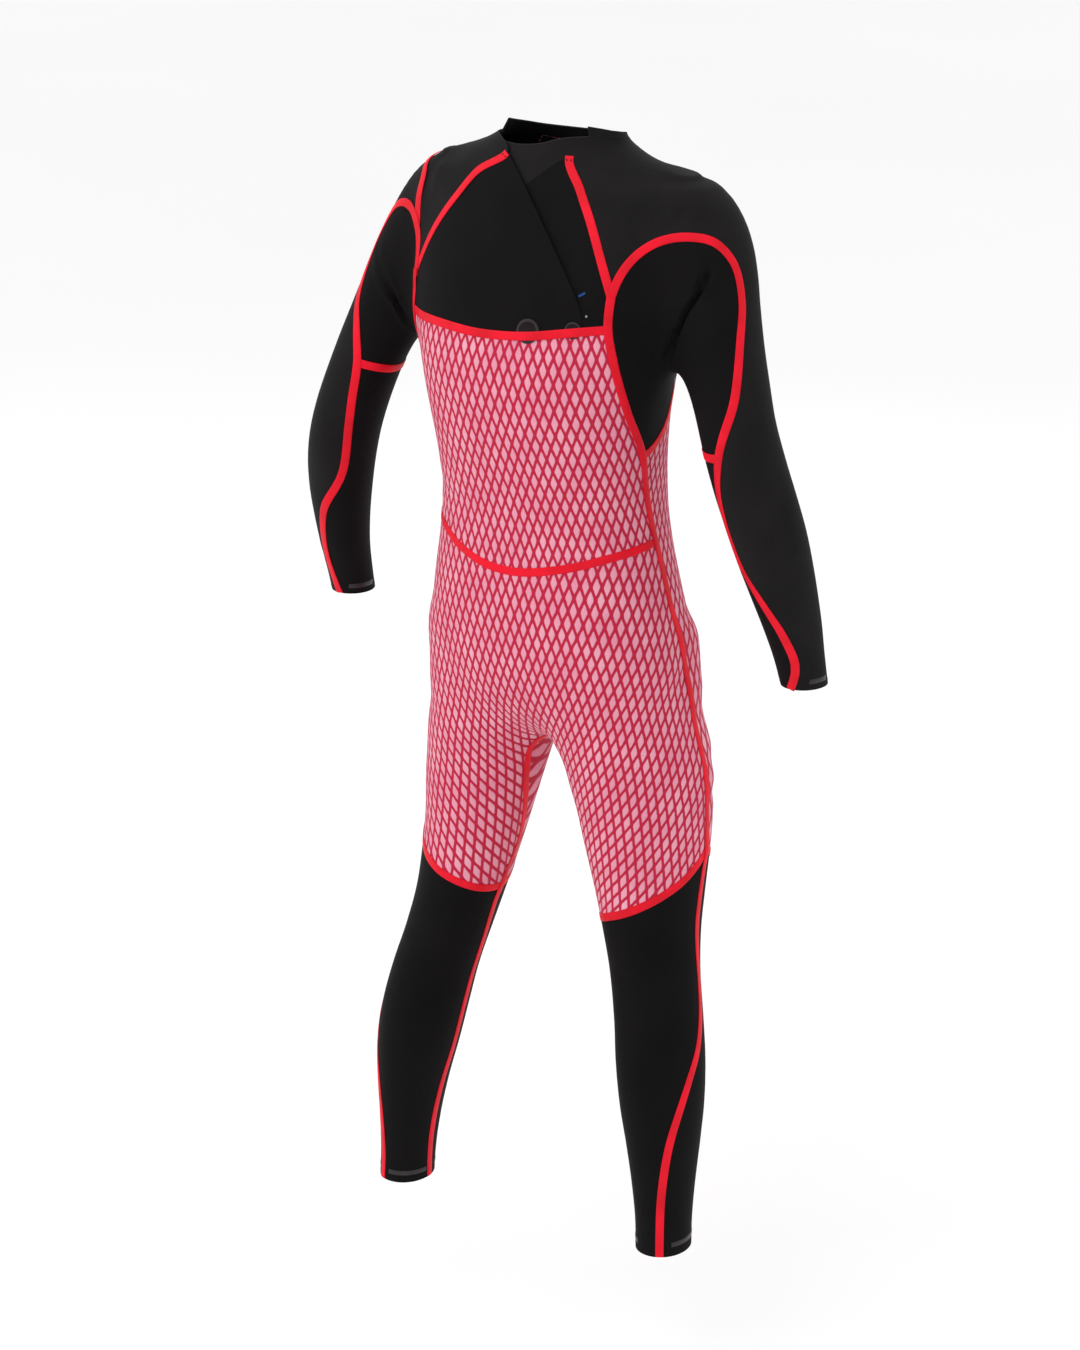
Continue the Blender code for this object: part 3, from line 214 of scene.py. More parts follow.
# ---------------------------------------------------------------- form ----
@dataclass
class Form:
    """The shape of the filled suit, at heights above the floor.

    The torso's rows are height, half width, half depth to the back, half depth to
    the front, centre y and squareness.  A limb's rows are height, distance out
    from the middle, y, half width, half depth and turn in degrees.
    """

    torso: Array = field(default_factory=lambda: np.array([
        (0.740, 0.1680, 0.1000, 0.1000, 0.012, 2.20), (0.800, 0.1680, 0.1080, 0.1060, 0.012, 2.20),
        (0.840, 0.1670, 0.1135, 0.1100, 0.012, 2.20), (0.880, 0.1655, 0.1160, 0.1120, 0.014, 2.25),
        (0.920, 0.1635, 0.1150, 0.1120, 0.018, 2.30), (0.960, 0.1575, 0.1100, 0.1080, 0.025, 2.30),
        (1.000, 0.1510, 0.1040, 0.1040, 0.030, 2.30), (1.040, 0.1440, 0.1000, 0.1010, 0.033, 2.30),
        (1.080, 0.1385, 0.0990, 0.0990, 0.035, 2.30), (1.120, 0.1375, 0.1010, 0.0990, 0.038, 2.30),
        (1.160, 0.1400, 0.1040, 0.1020, 0.043, 2.30), (1.200, 0.1450, 0.1070, 0.1060, 0.048, 2.30),
        (1.240, 0.1510, 0.1090, 0.1100, 0.051, 2.30), (1.280, 0.1570, 0.1090, 0.1120, 0.051, 2.30),
        (1.320, 0.1620, 0.1060, 0.1110, 0.047, 2.30), (1.360, 0.1660, 0.1010, 0.1060, 0.040, 2.25),
        (1.400, 0.1690, 0.0920, 0.0970, 0.031, 2.15), (1.430, 0.1690, 0.0830, 0.0870, 0.024, 2.05),
        (1.454, 0.1640, 0.0740, 0.0770, 0.019, 2.00), (1.472, 0.1500, 0.0660, 0.0690, 0.016, 2.00),
        (1.486, 0.1260, 0.0600, 0.0630, 0.014, 2.00), (1.498, 0.1000, 0.0560, 0.0590, 0.014, 2.00),
        (1.510, 0.0800, 0.0540, 0.0570, 0.014, 2.00), (1.525, 0.0715, 0.0530, 0.0560, 0.014, 2.00),
        (1.560, 0.0690, 0.0530, 0.0560, 0.014, 2.00)]))
    leg: Array = field(default_factory=lambda: np.array([
        (0.150, 0.1880, 0.0860, 0.0330, 0.0385, 0), (0.190, 0.1872, 0.0855, 0.0322, 0.0380, 0),
        (0.220, 0.1862, 0.0840, 0.0328, 0.0382, 0), (0.270, 0.1840, 0.0815, 0.0368, 0.0425, 0),
        (0.320, 0.1808, 0.0780, 0.0430, 0.0485, 0), (0.370, 0.1756, 0.0730, 0.0495, 0.0545, 0),
        (0.420, 0.1690, 0.0660, 0.0526, 0.0568, 0), (0.470, 0.1600, 0.0560, 0.0525, 0.0560, 0),
        (0.520, 0.1478, 0.0440, 0.0528, 0.0560, 5), (0.570, 0.1365, 0.0330, 0.0550, 0.0615, 14),
        (0.620, 0.1280, 0.0240, 0.0600, 0.0690, 22), (0.670, 0.1205, 0.0175, 0.0655, 0.0780, 26),
        (0.720, 0.1135, 0.0135, 0.0722, 0.0860, 24), (0.760, 0.1065, 0.0115, 0.0770, 0.0925, 24),
        (0.800, 0.0985, 0.0120, 0.0808, 0.0970, 16), (0.860, 0.0860, 0.0140, 0.0820, 0.1000, 5),
        (0.920, 0.0800, 0.0160, 0.0780, 0.1020, 0)]))
    arm: Array = field(default_factory=lambda: np.array([
        (0.870, 0.3165, -0.0140, 0.0260, 0.0285, 0), (0.900, 0.3149, -0.0040, 0.0258, 0.0290, 10),
        (0.940, 0.3130, 0.0085, 0.0272, 0.0310, 20), (0.980, 0.3105, 0.0220, 0.0300, 0.0355, 26),
        (1.020, 0.3055, 0.0345, 0.0338, 0.0400, 28), (1.060, 0.2990, 0.0455, 0.0380, 0.0440, 28),
        (1.100, 0.2910, 0.0540, 0.0410, 0.0465, 26), (1.140, 0.2800, 0.0600, 0.0425, 0.0475, 20),
        (1.180, 0.2665, 0.0610, 0.0430, 0.0475, 10), (1.220, 0.2520, 0.0570, 0.0430, 0.0475, 0),
        (1.260, 0.2380, 0.0490, 0.0440, 0.0480, 0), (1.300, 0.2235, 0.0390, 0.0450, 0.0495, 0),
        (1.340, 0.2095, 0.0275, 0.0465, 0.0515, 0), (1.375, 0.1980, 0.0160, 0.0475, 0.0520, 0),
        (1.405, 0.1860, 0.0070, 0.0480, 0.0515, 0), (1.435, 0.1730, 0.0020, 0.0450, 0.0490, 0),
        (1.457, 0.1630, 0.0010, 0.0380, 0.0420, 0), (1.470, 0.1560, 0.0010, 0.0280, 0.0330, 0),
        (1.478, 0.1500, 0.0010, 0.0150, 0.0200, 0)]))
    hip_blend: tuple[float, float] = (0.765, 0.915)
    crotch_blend: tuple[float, float] = (0.030, 0.130)
    armpit_blend: tuple[float, float] = (0.050, 0.075)
    # heights between which those two blends change
    crotch_heights: tuple[float, float] = (0.78, 0.88)
    armpit_heights: tuple[float, float] = (1.27, 1.40)
    limb_squareness: float = 2.04
    near_enough: float = 2e-7
    longest_move: float = 0.02

    @staticmethod
    def round_union(a: Array, b: Array, width: Array) -> Array:
        """Join two distance fields with a rounded inner corner."""
        near = np.maximum(width - np.abs(a - b), 0) / width
        return np.minimum(a, b) - near * near * width / 4

    @staticmethod
    def oval(dx: Array, dy: Array, wide: Array, deep: Array,
             squareness: Union[Array, float]) -> Array:
        """Measure how far points are outside an oval, along the ray from its centre.

        Args:
            dx: Places across, from the centre.
            dy: Places in depth, from the centre.
            wide: Half widths.
            deep: Half depths.
            squareness: 2 for an ellipse, more for a squarer outline.

        Returns:
            Signed distances, negative inside.
        """
        radius = np.hypot(dx, dy) + 1e-9
        scale = ((np.abs(dx) / wide)**squareness + (np.abs(dy) / deep)**squareness)**(1 / squareness)
        return radius - radius / (scale + 1e-9)

    def limb(self, points: Array, side: int, table: Array) -> Array:
        """Measure how far points are outside an arm or a leg.

        Args:
            points: Rows of points.
            side: -1 for the right one, 1 for the left one.
            table: The limb's rows.

        Returns:
            Signed distances, negative inside.
        """
        row = read_rows(table, points[:, 2])
        dx, dy = points[:, 0] * side - row[:, 0], points[:, 1] - row[:, 1]
        turn = np.radians(row[:, 4])
        c, s = np.cos(turn), np.sin(turn)
        return self.oval(dx * c + dy * s, dy * c - dx * s, row[:, 2], row[:, 3], self.limb_squareness)

    def distance(self, points: Array) -> Array:
        """Measure how far points are outside the filled suit.

        Args:
            points: Rows of points.

        Returns:
            Signed distances, negative within it.
        """
        height = points[:, 2]
        row = read_rows(self.torso, height)
        dy = points[:, 1] - row[:, 3]
        torso = self.oval(points[:, 0], dy, row[:, 0], np.where(dy > 0, row[:, 1], row[:, 2]), row[:, 4])
        low, high = self.crotch_blend
        legs = self.round_union(self.limb(points, -1, self.leg), self.limb(points, 1, self.leg),
                                low + (high - low) * ease(height, *self.crotch_heights))
        share = ease(height, *self.hip_blend)
        result = legs * (1 - share) + torso * share
        low, high = self.armpit_blend
        rounding = low + (high - low) * (1 - ease(height, *self.armpit_heights))
        for side in (-1, 1):
            arm, over = self.limb(points, side, self.arm), height - self.arm[-1, 0]
            arm = (np.minimum(np.maximum(arm, over), 0)
                   + np.hypot(np.maximum(arm, 0), np.maximum(over, 0)))
            result = self.round_union(result, arm, rounding)
        return result

    def slope(self, points: Array, step: float = 2e-4) -> Array:
        """Find the distance's slope by differences.

        Args:
            points: Rows of points.
            step: How far to each side the distance is read.

        Returns:
            The slope at each point, along x, y and z.
        """
        found = np.zeros_like(points)
        for axis in range(3):
            move = np.zeros(3)
            move[axis] = step
            found[:, axis] = (self.distance(points + move) - self.distance(points - move)) / (2 * step)
        return found

    def lay(self, points: Any, level: bool = False, rounds: int = 14) -> Array:
        """Move points onto the form.

        Args:
            points: Points in any shape of array.
            level: Keep each point at its own height.
            rounds: Most steps to take.

        Returns:
            The points on the form, in the same shape of array.
        """
        shape = np.shape(points)
        points = np.array(points, float).reshape(-1, 3)
        for _ in range(rounds):
            distance = self.distance(points)
            if np.abs(distance).max() < self.near_enough:
                break
            slope = self.slope(points)
            if level:
                slope[:, 2] = 0
            move = (distance / ((slope**2).sum(1) + 1e-12))[:, None] * slope
            length = np.linalg.norm(move, axis=1, keepdims=True)
            points = points - move * np.minimum(1, self.longest_move / np.maximum(length, 1e-9))
        return points.reshape(shape)

    def outward(self, points: Array) -> Array:
        """Unit normals of the form at points on it."""
        return unit(self.slope(points.reshape(-1, 3))).reshape(points.shape)


# --------------------------------------------------------------- seams ----
@dataclass
class SeamPlan:
    """Named seam lines on the form.

    A chain is one smooth line.  Its items are marks, points on the way, and
    (name, steps) for the stretch that ends at the next mark.
    """

    form: Form
    detail: int = 1
    marks: dict[str, tuple[Point, Point]] = field(default_factory=lambda: {
        "neck_back": ((0.054, 0.050, 1.521), (0.081, 0.030, 1.510)),
        "raglan_top": ((0.037, 0.065, 1.501), (0.042, 0.066, 1.496)),
        "junction": ((0.122, 0.115, 1.358), (0.154, 0.090, 1.354)),
        "arc_mark": ((0.189, 0.057, 1.423), (0.164, 0.072, 1.401)),
        "arc_mark_front": ((0.184, -0.039, 1.393), (0.152, -0.040, 1.393)),
        "yoke_end": ((0.123, 0.123, 1.322), (0.157, 0.092, 1.307)),
        "tip": ((0.138, 0.069, 1.166), (0.138, 0.069, 1.166)),
        "waist_end": ((0.141, 0.042, 1.059), (0.141, 0.046, 1.066)),
        "thigh_out": ((0.189, -0.002, 0.672), (0.189, -0.002, 0.672)),
        "thigh_in": ((0.076, 0.036, 0.583), (0.076, 0.036, 0.583)),
        "elbow_back": ((0.258, 0.108, 1.189), (0.234, 0.100, 1.234)),
        "elbow_front": ((0.246, 0.014, 1.195), (0.236, 0.012, 1.228)),
        "wrist_back": ((0.312, 0.028, 0.905), (0.314, 0.030, 0.918)),
        "wrist_front": ((0.306, -0.032, 0.905), (0.304, -0.028, 0.918)),
        "junction_front": ((0.128, -0.034, 1.345), (0.128, -0.034, 1.345)),
        "neck_front": ((0.056, -0.030, 1.500), (0.058, -0.030, 1.500)),
        "ankle_out": ((0.201, 0.119, 0.188), (0.201, 0.119, 0.188)),
        "ankle_in": ((0.155, 0.084, 0.188), (0.155, 0.084, 0.188))})
    middle_marks: dict[str, Point] = field(default_factory=lambda: {
        "neck_mid": (0.0, -0.047, 1.494), "crotch": (0.0, 0.030, 0.799),
        "waist_mid": (0.0, 0.134, 1.024), "slit_foot": (-0.100, 0.137, 1.320),
        "tuck_neck": (0.070, 0.046, 1.507), "tuck_top": (0.022, 0.091, 1.456)})
    level_marks: tuple[str, ...] = ("wrist_back", "wrist_front", "ankle_out", "ankle_in")
    stretches: dict[str, Array] = field(default_factory=dict)

    SIDE_CHAINS = [
        ["junction", ("corner", 6), "yoke_end", ("side_high", 4),
         {"right": [(0.129, 0.122, 1.289), (0.136, 0.103, 1.228)],
          "left": [(0.157, 0.086, 1.270), (0.149, 0.080, 1.220)]}, "tip",
         ("side_low", 3), (0.140, 0.055, 1.110), "waist_end",
         ("side_hip", 14), (0.155, 0.028, 0.975), (0.165, 0.010, 0.908), (0.176, 0.000, 0.845),
         (0.186, -0.002, 0.760), "thigh_out",
         ("leg_out", 13), (0.191, 0.018, 0.597), (0.203, 0.034, 0.500), (0.212, 0.058, 0.450),
         (0.214, 0.085, 0.410), (0.208, 0.108, 0.350), (0.203, 0.118, 0.280), "ankle_out"],
        ["neck_back", ("neck_drop", 2), "raglan_top", ("raglan_back", 12),
         {"right": [(0.060, 0.080, 1.466), (0.082, 0.094, 1.435), (0.104, 0.108, 1.397)],
          "left": [(0.078, 0.073, 1.472), (0.105, 0.083, 1.441), (0.127, 0.092, 1.408),
                   (0.141, 0.094, 1.379)]}, "junction"],
        ["junction",
         {"right": [("arc_high", 5), (0.126, 0.105, 1.378), (0.135, 0.090, 1.398), (0.154, 0.073, 1.415)],
          "left": [("arc_high", 2), (0.158, 0.081, 1.380)]},
         "arc_mark", ("arc_back", 9),
         {"right": [(0.213, 0.043, 1.417), (0.232, 0.035, 1.396), (0.248, 0.042, 1.356),
                    (0.257, 0.061, 1.315), (0.266, 0.088, 1.254)],
          "left": [(0.178, 0.063, 1.416), (0.196, 0.054, 1.421), (0.216, 0.044, 1.412),
                   (0.231, 0.044, 1.388), (0.241, 0.057, 1.350), (0.245, 0.076, 1.310),
                   (0.238, 0.094, 1.271)]},
         "elbow_back", ("fore_back", 6),
         {"right": [(0.256, 0.104, 1.153), (0.262, 0.094, 1.110), (0.275, 0.084, 1.063),
                    (0.296, 0.074, 1.023), (0.317, 0.052, 0.973), (0.323, 0.036, 0.935)],
          "left": [(0.241, 0.102, 1.190), (0.248, 0.100, 1.155), (0.264, 0.090, 1.096),
                   (0.303, 0.079, 1.034), (0.317, 0.057, 0.985), (0.318, 0.040, 0.943)]}, "wrist_back"],
        ["neck_front", ("raglan_front", 12), (0.075, -0.033, 1.470), (0.095, -0.037, 1.435),
         (0.112, -0.038, 1.395), "junction_front", ("front_side", 5), (0.146, -0.012, 1.285),
         (0.149, 0.003, 1.235), (0.144, 0.027, 1.193), (0.141, 0.049, 1.175), "tip"],
        ["junction_front",
         {"right": [("arc_fore", 5), (0.134, -0.036, 1.372), (0.147, -0.040, 1.391),
                    (0.164, -0.042, 1.398)],
          "left": [("arc_fore", 2), (0.134, -0.036, 1.372)]},
         "arc_mark_front",
         ("arc_front", 9), {"right": [], "left": [(0.172, -0.042, 1.398), (0.194, -0.036, 1.386)]},
         (0.209, -0.024, 1.358), (0.218, -0.012, 1.320), (0.228, 0.000, 1.278), "elbow_front",
         ("fore_front", 6), (0.262, 0.010, 1.140), (0.276, 0.004, 1.080), (0.290, -0.008, 1.020),
         (0.299, -0.020, 0.960), "wrist_front"],
        ["elbow_back", ("elbow", 15),
         {"right": [(0.232, 0.094, 1.187), (0.220, 0.062, 1.190), (0.230, 0.030, 1.193)],
          "left": [(0.217, 0.088, 1.228), (0.207, 0.061, 1.222), (0.216, 0.030, 1.223)]},
         "elbow_front"],
        ["thigh_out", ("thigh_back", 9), (0.184, 0.040, 0.647), (0.168, 0.070, 0.631),
         (0.139, 0.090, 0.614), (0.108, 0.086, 0.600), (0.088, 0.070, 0.590), "thigh_in"],
        ["thigh_out", ("thigh_front", 8), (0.168, -0.032, 0.655), (0.130, -0.046, 0.630),
         (0.096, -0.030, 0.605), (0.080, 0.000, 0.590), "thigh_in"],
        ["crotch", ("inseam", 6), (0.020, 0.050, 0.785), (0.033, 0.046, 0.745), (0.045, 0.031, 0.699),
         (0.061, 0.020, 0.639), "thigh_in", ("leg_in", 13), (0.098, 0.045, 0.500),
         (0.117, 0.062, 0.420), (0.124, 0.068, 0.380), (0.138, 0.079, 0.318), (0.150, 0.085, 0.254),
         "ankle_in"],
        ["neck_back",
         {"right": [("neck_side", 16), (0.069, 0.028, 1.514), (0.071, 0.000, 1.507)],
          "left": [("neck_side", 10), (0.083, 0.010, 1.507)]}, "neck_front"],
        ["neck_front", ("neck_fore", 8), (0.030, -0.043, 1.496), "neck_mid"],
        ["arc_mark", ("shoulder_seam", 8),
         {"right": [(0.189, 0.040, 1.448), (0.186, 0.004, 1.464), (0.184, -0.026, 1.432)],
          "left": [(0.170, 0.058, 1.438), (0.177, 0.030, 1.464), (0.178, 0.003, 1.470),
                   (0.172, -0.024, 1.448), (0.162, -0.036, 1.418)]}, "arc_mark_front"],
    ]
    # each at one height, so the heights of the points on the way aren't read
    LEVEL_CHAINS = [
        ["wrist_back", ("wrist_out", 8), (0.334, 0.013, 0), (0.341, -0.004, 0), (0.328, -0.025, 0),
         "wrist_front"],
        ["wrist_back", ("wrist_in", 15), (0.294, 0.018, 0), (0.288, 0.000, 0), (0.292, -0.020, 0),
         "wrist_front"],
        ["ankle_out", ("ankle_back", 9), (0.186, 0.123, 0), (0.166, 0.110, 0), "ankle_in"],
        ["ankle_out", ("ankle_front", 8), (0.219, 0.088, 0), (0.206, 0.056, 0), (0.187, 0.048, 0),
         (0.165, 0.058, 0), "ankle_in"],
    ]
    MIDDLE_CHAINS = [
        ["yoke_end@left", ("yoke_left", 12), (0.088, 0.143, 1.309), (0.026, 0.156, 1.307),
         (-0.040, 0.153, 1.311), (-0.080, 0.143, 1.317), "slit_foot", ("yoke_right", 6),
         "yoke_end@right"],
        ["waist_end@left", ("waist_left", 9), (0.107, 0.106, 1.055), (0.077, 0.122, 1.040),
         (0.030, 0.133, 1.026), "waist_mid", ("waist_right", 9), (-0.063, 0.127, 1.034),
         (-0.114, 0.100, 1.049), "waist_end@right"],
        ["raglan_top@left", ("slit", 6), (0.009, 0.086, 1.466), (-0.032, 0.109, 1.425),
         (-0.068, 0.125, 1.382), (-0.092, 0.133, 1.345), "slit_foot"],
        ["tuck_neck", ("tuck_drop", 2), (0.052, 0.064, 1.490), "tuck_top",
         ("tuck", 18), (-0.007, 0.107, 1.430), (-0.044, 0.1245, 1.400), (-0.077, 0.128, 1.368),
         (-0.0925, 0.1335, 1.344), "slit_foot"],
        ["tuck_top", ("flap_edge", 6), (0.009, 0.086, 1.466), (-0.013, 0.075, 1.484),
         "raglan_top@right"],
        ["tuck_neck", ("flap_neck", 6), (0.029, 0.065, 1.507), (0.000, 0.068, 1.511),
         (-0.024, 0.065, 1.518), "neck_back@right"],
        ["waist_mid", ("centre_back", 8), (0.0, 0.135, 0.960), (0.0, 0.130, 0.900),
         (0.0, 0.110, 0.850), (0.0, 0.078, 0.818), "crotch"],
        ["neck_mid", ("centre_front", 28), (0.0, -0.056, 1.450), (0.0, -0.066, 1.390),
         (0.0, -0.064, 1.320), (0.0, -0.059, 1.240), (0.0, -0.059, 1.160), (0.0, -0.064, 1.080),
         (0.0, -0.074, 1.000), (0.0, -0.092, 0.930), (0.0, -0.092, 0.880), (0.0, -0.072, 0.838),
         (0.0, -0.030, 0.808), "crotch"],
    ]

    def __post_init__(self) -> None:
        """Trace every stretch, keyed name@side or name."""
        for side in SIGN:
            for chains, level in ((self.SIDE_CHAINS, False), (self.LEVEL_CHAINS, True)):
                for chain in chains:
                    for name, line in self.trace(chain, side, level).items():
                        self.stretches[f"{name}@{side}"] = line
        for chain in self.MIDDLE_CHAINS:
            self.stretches.update(self.trace(chain, None))
        for name in ("centre_back", "centre_front"):
            self.stretches[name][:, 0] = 0.0
        self.stretches["waist_half@left"] = self.stretches["waist_left"]
        self.stretches["waist_half@right"] = self.stretches["waist_right"][::-1]

    def mark(self, name: str, side: Optional[str] = None) -> Array:
        """Find a named seam point.

        Args:
            name: Its name, or name@side.
            side: The side, where the name gives none.

        Returns:
            The point on the form.
        """
        name, _, other = name.partition("@")
        side = other or side
        if name in self.middle_marks:
            point = self.middle_marks[name]
        else:
            out, y, height = self.marks[name][0 if side == "right" else 1]
            point = (SIGN[side] * out, y, height)
        return self.form.lay([point], level=name in self.level_marks)[0]

    def trace(self, chain: Sequence[ChainItem], side: Optional[str],
              level: bool = False) -> dict[str, Array]:
        """Trace one chain.

        Args:
            chain: Marks, points and stretch names.
            side: Which side of the suit, or None for the middle.
            level: Whether the whole line is at one height.

        Returns:
            The points of each named stretch.
        """
        items: list = []
        for item in chain:
            items.extend(item[side] if isinstance(item, dict) else [item])
        height = self.mark(chain[0], side)[2] if level else 0.0
        points, stretches, mark_at = [], [], {}
        for item in items:
            if isinstance(item, str):
                mark_at[len(points)] = self.mark(item, side)
                points.append(mark_at[len(points)])
                if stretches and stretches[-1][3] is None:
                    stretches[-1][3] = len(points) - 1
            elif isinstance(item[0], str):
                stretches.append([item[0], item[1], len(points) - 1, None])
            else:
                x = item[0] * SIGN[side] if side else item[0]
                points.append(np.array([x, item[1], height if level else item[2]]))
        line, index = smooth_line(points)
        line = self.form.lay(line, level=level)
        found = {}
        for name, count, start, end in stretches:
            stretch = spread(line[index[start]:index[end] + 1], count * self.detail)
            stretch = self.form.lay(stretch, level=level)
            stretch[0], stretch[-1] = mark_at[start], mark_at[end]
            found[name] = stretch
        return found

    def stretch(self, word: str, side: Optional[str]) -> Array:
        """Find one stretch of seam.

        Args:
            word: Its name, with a minus sign to turn it round.
            side: The side, where the name gives none.

        Returns:
            The points along it.
        """
        name = word.lstrip("-")
        line = self.stretches[name if name in self.stretches else f"{name}@{side}"]
        return line[::-1] if word[0] == "-" else line

    def join(self, words: str, side: Optional[str] = None) -> Array:
        """Join stretches into one line.

        Args:
            words: Their words, with blanks between.
            side: The side, where a word gives none.

        Returns:
            The points along all of them.
        """
        lines: list[Array] = []
        for word in words.split():
            line = self.stretch(word, side)
            lines.append(line if not lines else line[1:])
        return np.concatenate(lines)

    def neckline(self) -> Array:
        """The neck seam, from the back of the right side round to the left."""
        right, left = (self.join("neck_side neck_fore", side) for side in ("right", "left"))
        return np.concatenate([right, left[::-1][1:]])


# --------------------------------------------------------------- folds ----
@dataclass(frozen=True)
class Fold:
    """One soft trough or ridge in the cloth, drawn one by one.

    Args:
        line: Points that it follows, above the floor.
        width: Half width of the trough, in metres.
        depth: How far it goes in, in metres; negative for a ridge.
        both: Whether the other side of the suit has one too.
    """

    line: tuple[Point, ...]
    width: float
    depth: float
    both: bool = False

    RIPPLE = 0.30                 # how much the width changes along a fold
    RIPPLE_TURNS = 9.0            # radians of that change from end to end
    RIPPLE_SHIFT = 40             # radians for each metre across, so that folds differ
    LIP = (0.34, 1.75, 0.75)      # height, place and width of the lip beside a trough
    FADE = (-0.05, 0.30)          # shares of the length between which a fold's end fades in

    def height(self, points: Array) -> Array:
        """Find how far this fold moves the cloth out.

        Args:
            points: Points on the form.

        Returns:
            One height for each point, negative in a trough.
        """
        total = np.zeros(points.shape[:-1])
        for sign in ((1.0, -1.0) if self.both else (1.0,)):
            line, _ = smooth_line([(x * sign, y, z) for x, y, z in self.line], per_span=5)
            near = np.linalg.norm(points - line.mean(0), axis=-1) < along(line)[-1] / 2 + 4 * self.width
            if not near.any():
                continue
            apart, place = line_distance(points[near], line)
            shift = self.RIPPLE_SHIFT * self.line[0][2]
            wave = 1 + self.RIPPLE * np.sin(self.RIPPLE_TURNS * place + shift)
            across = apart / (self.width * wave)
            lip, at, wide = self.LIP
            shape = -np.exp(-across**2) + lip * np.exp(-((across - at) / wide)**2)
            total[near] += self.depth * shape * ease(place, *self.FADE) * ease(1 - place, *self.FADE)
        return total


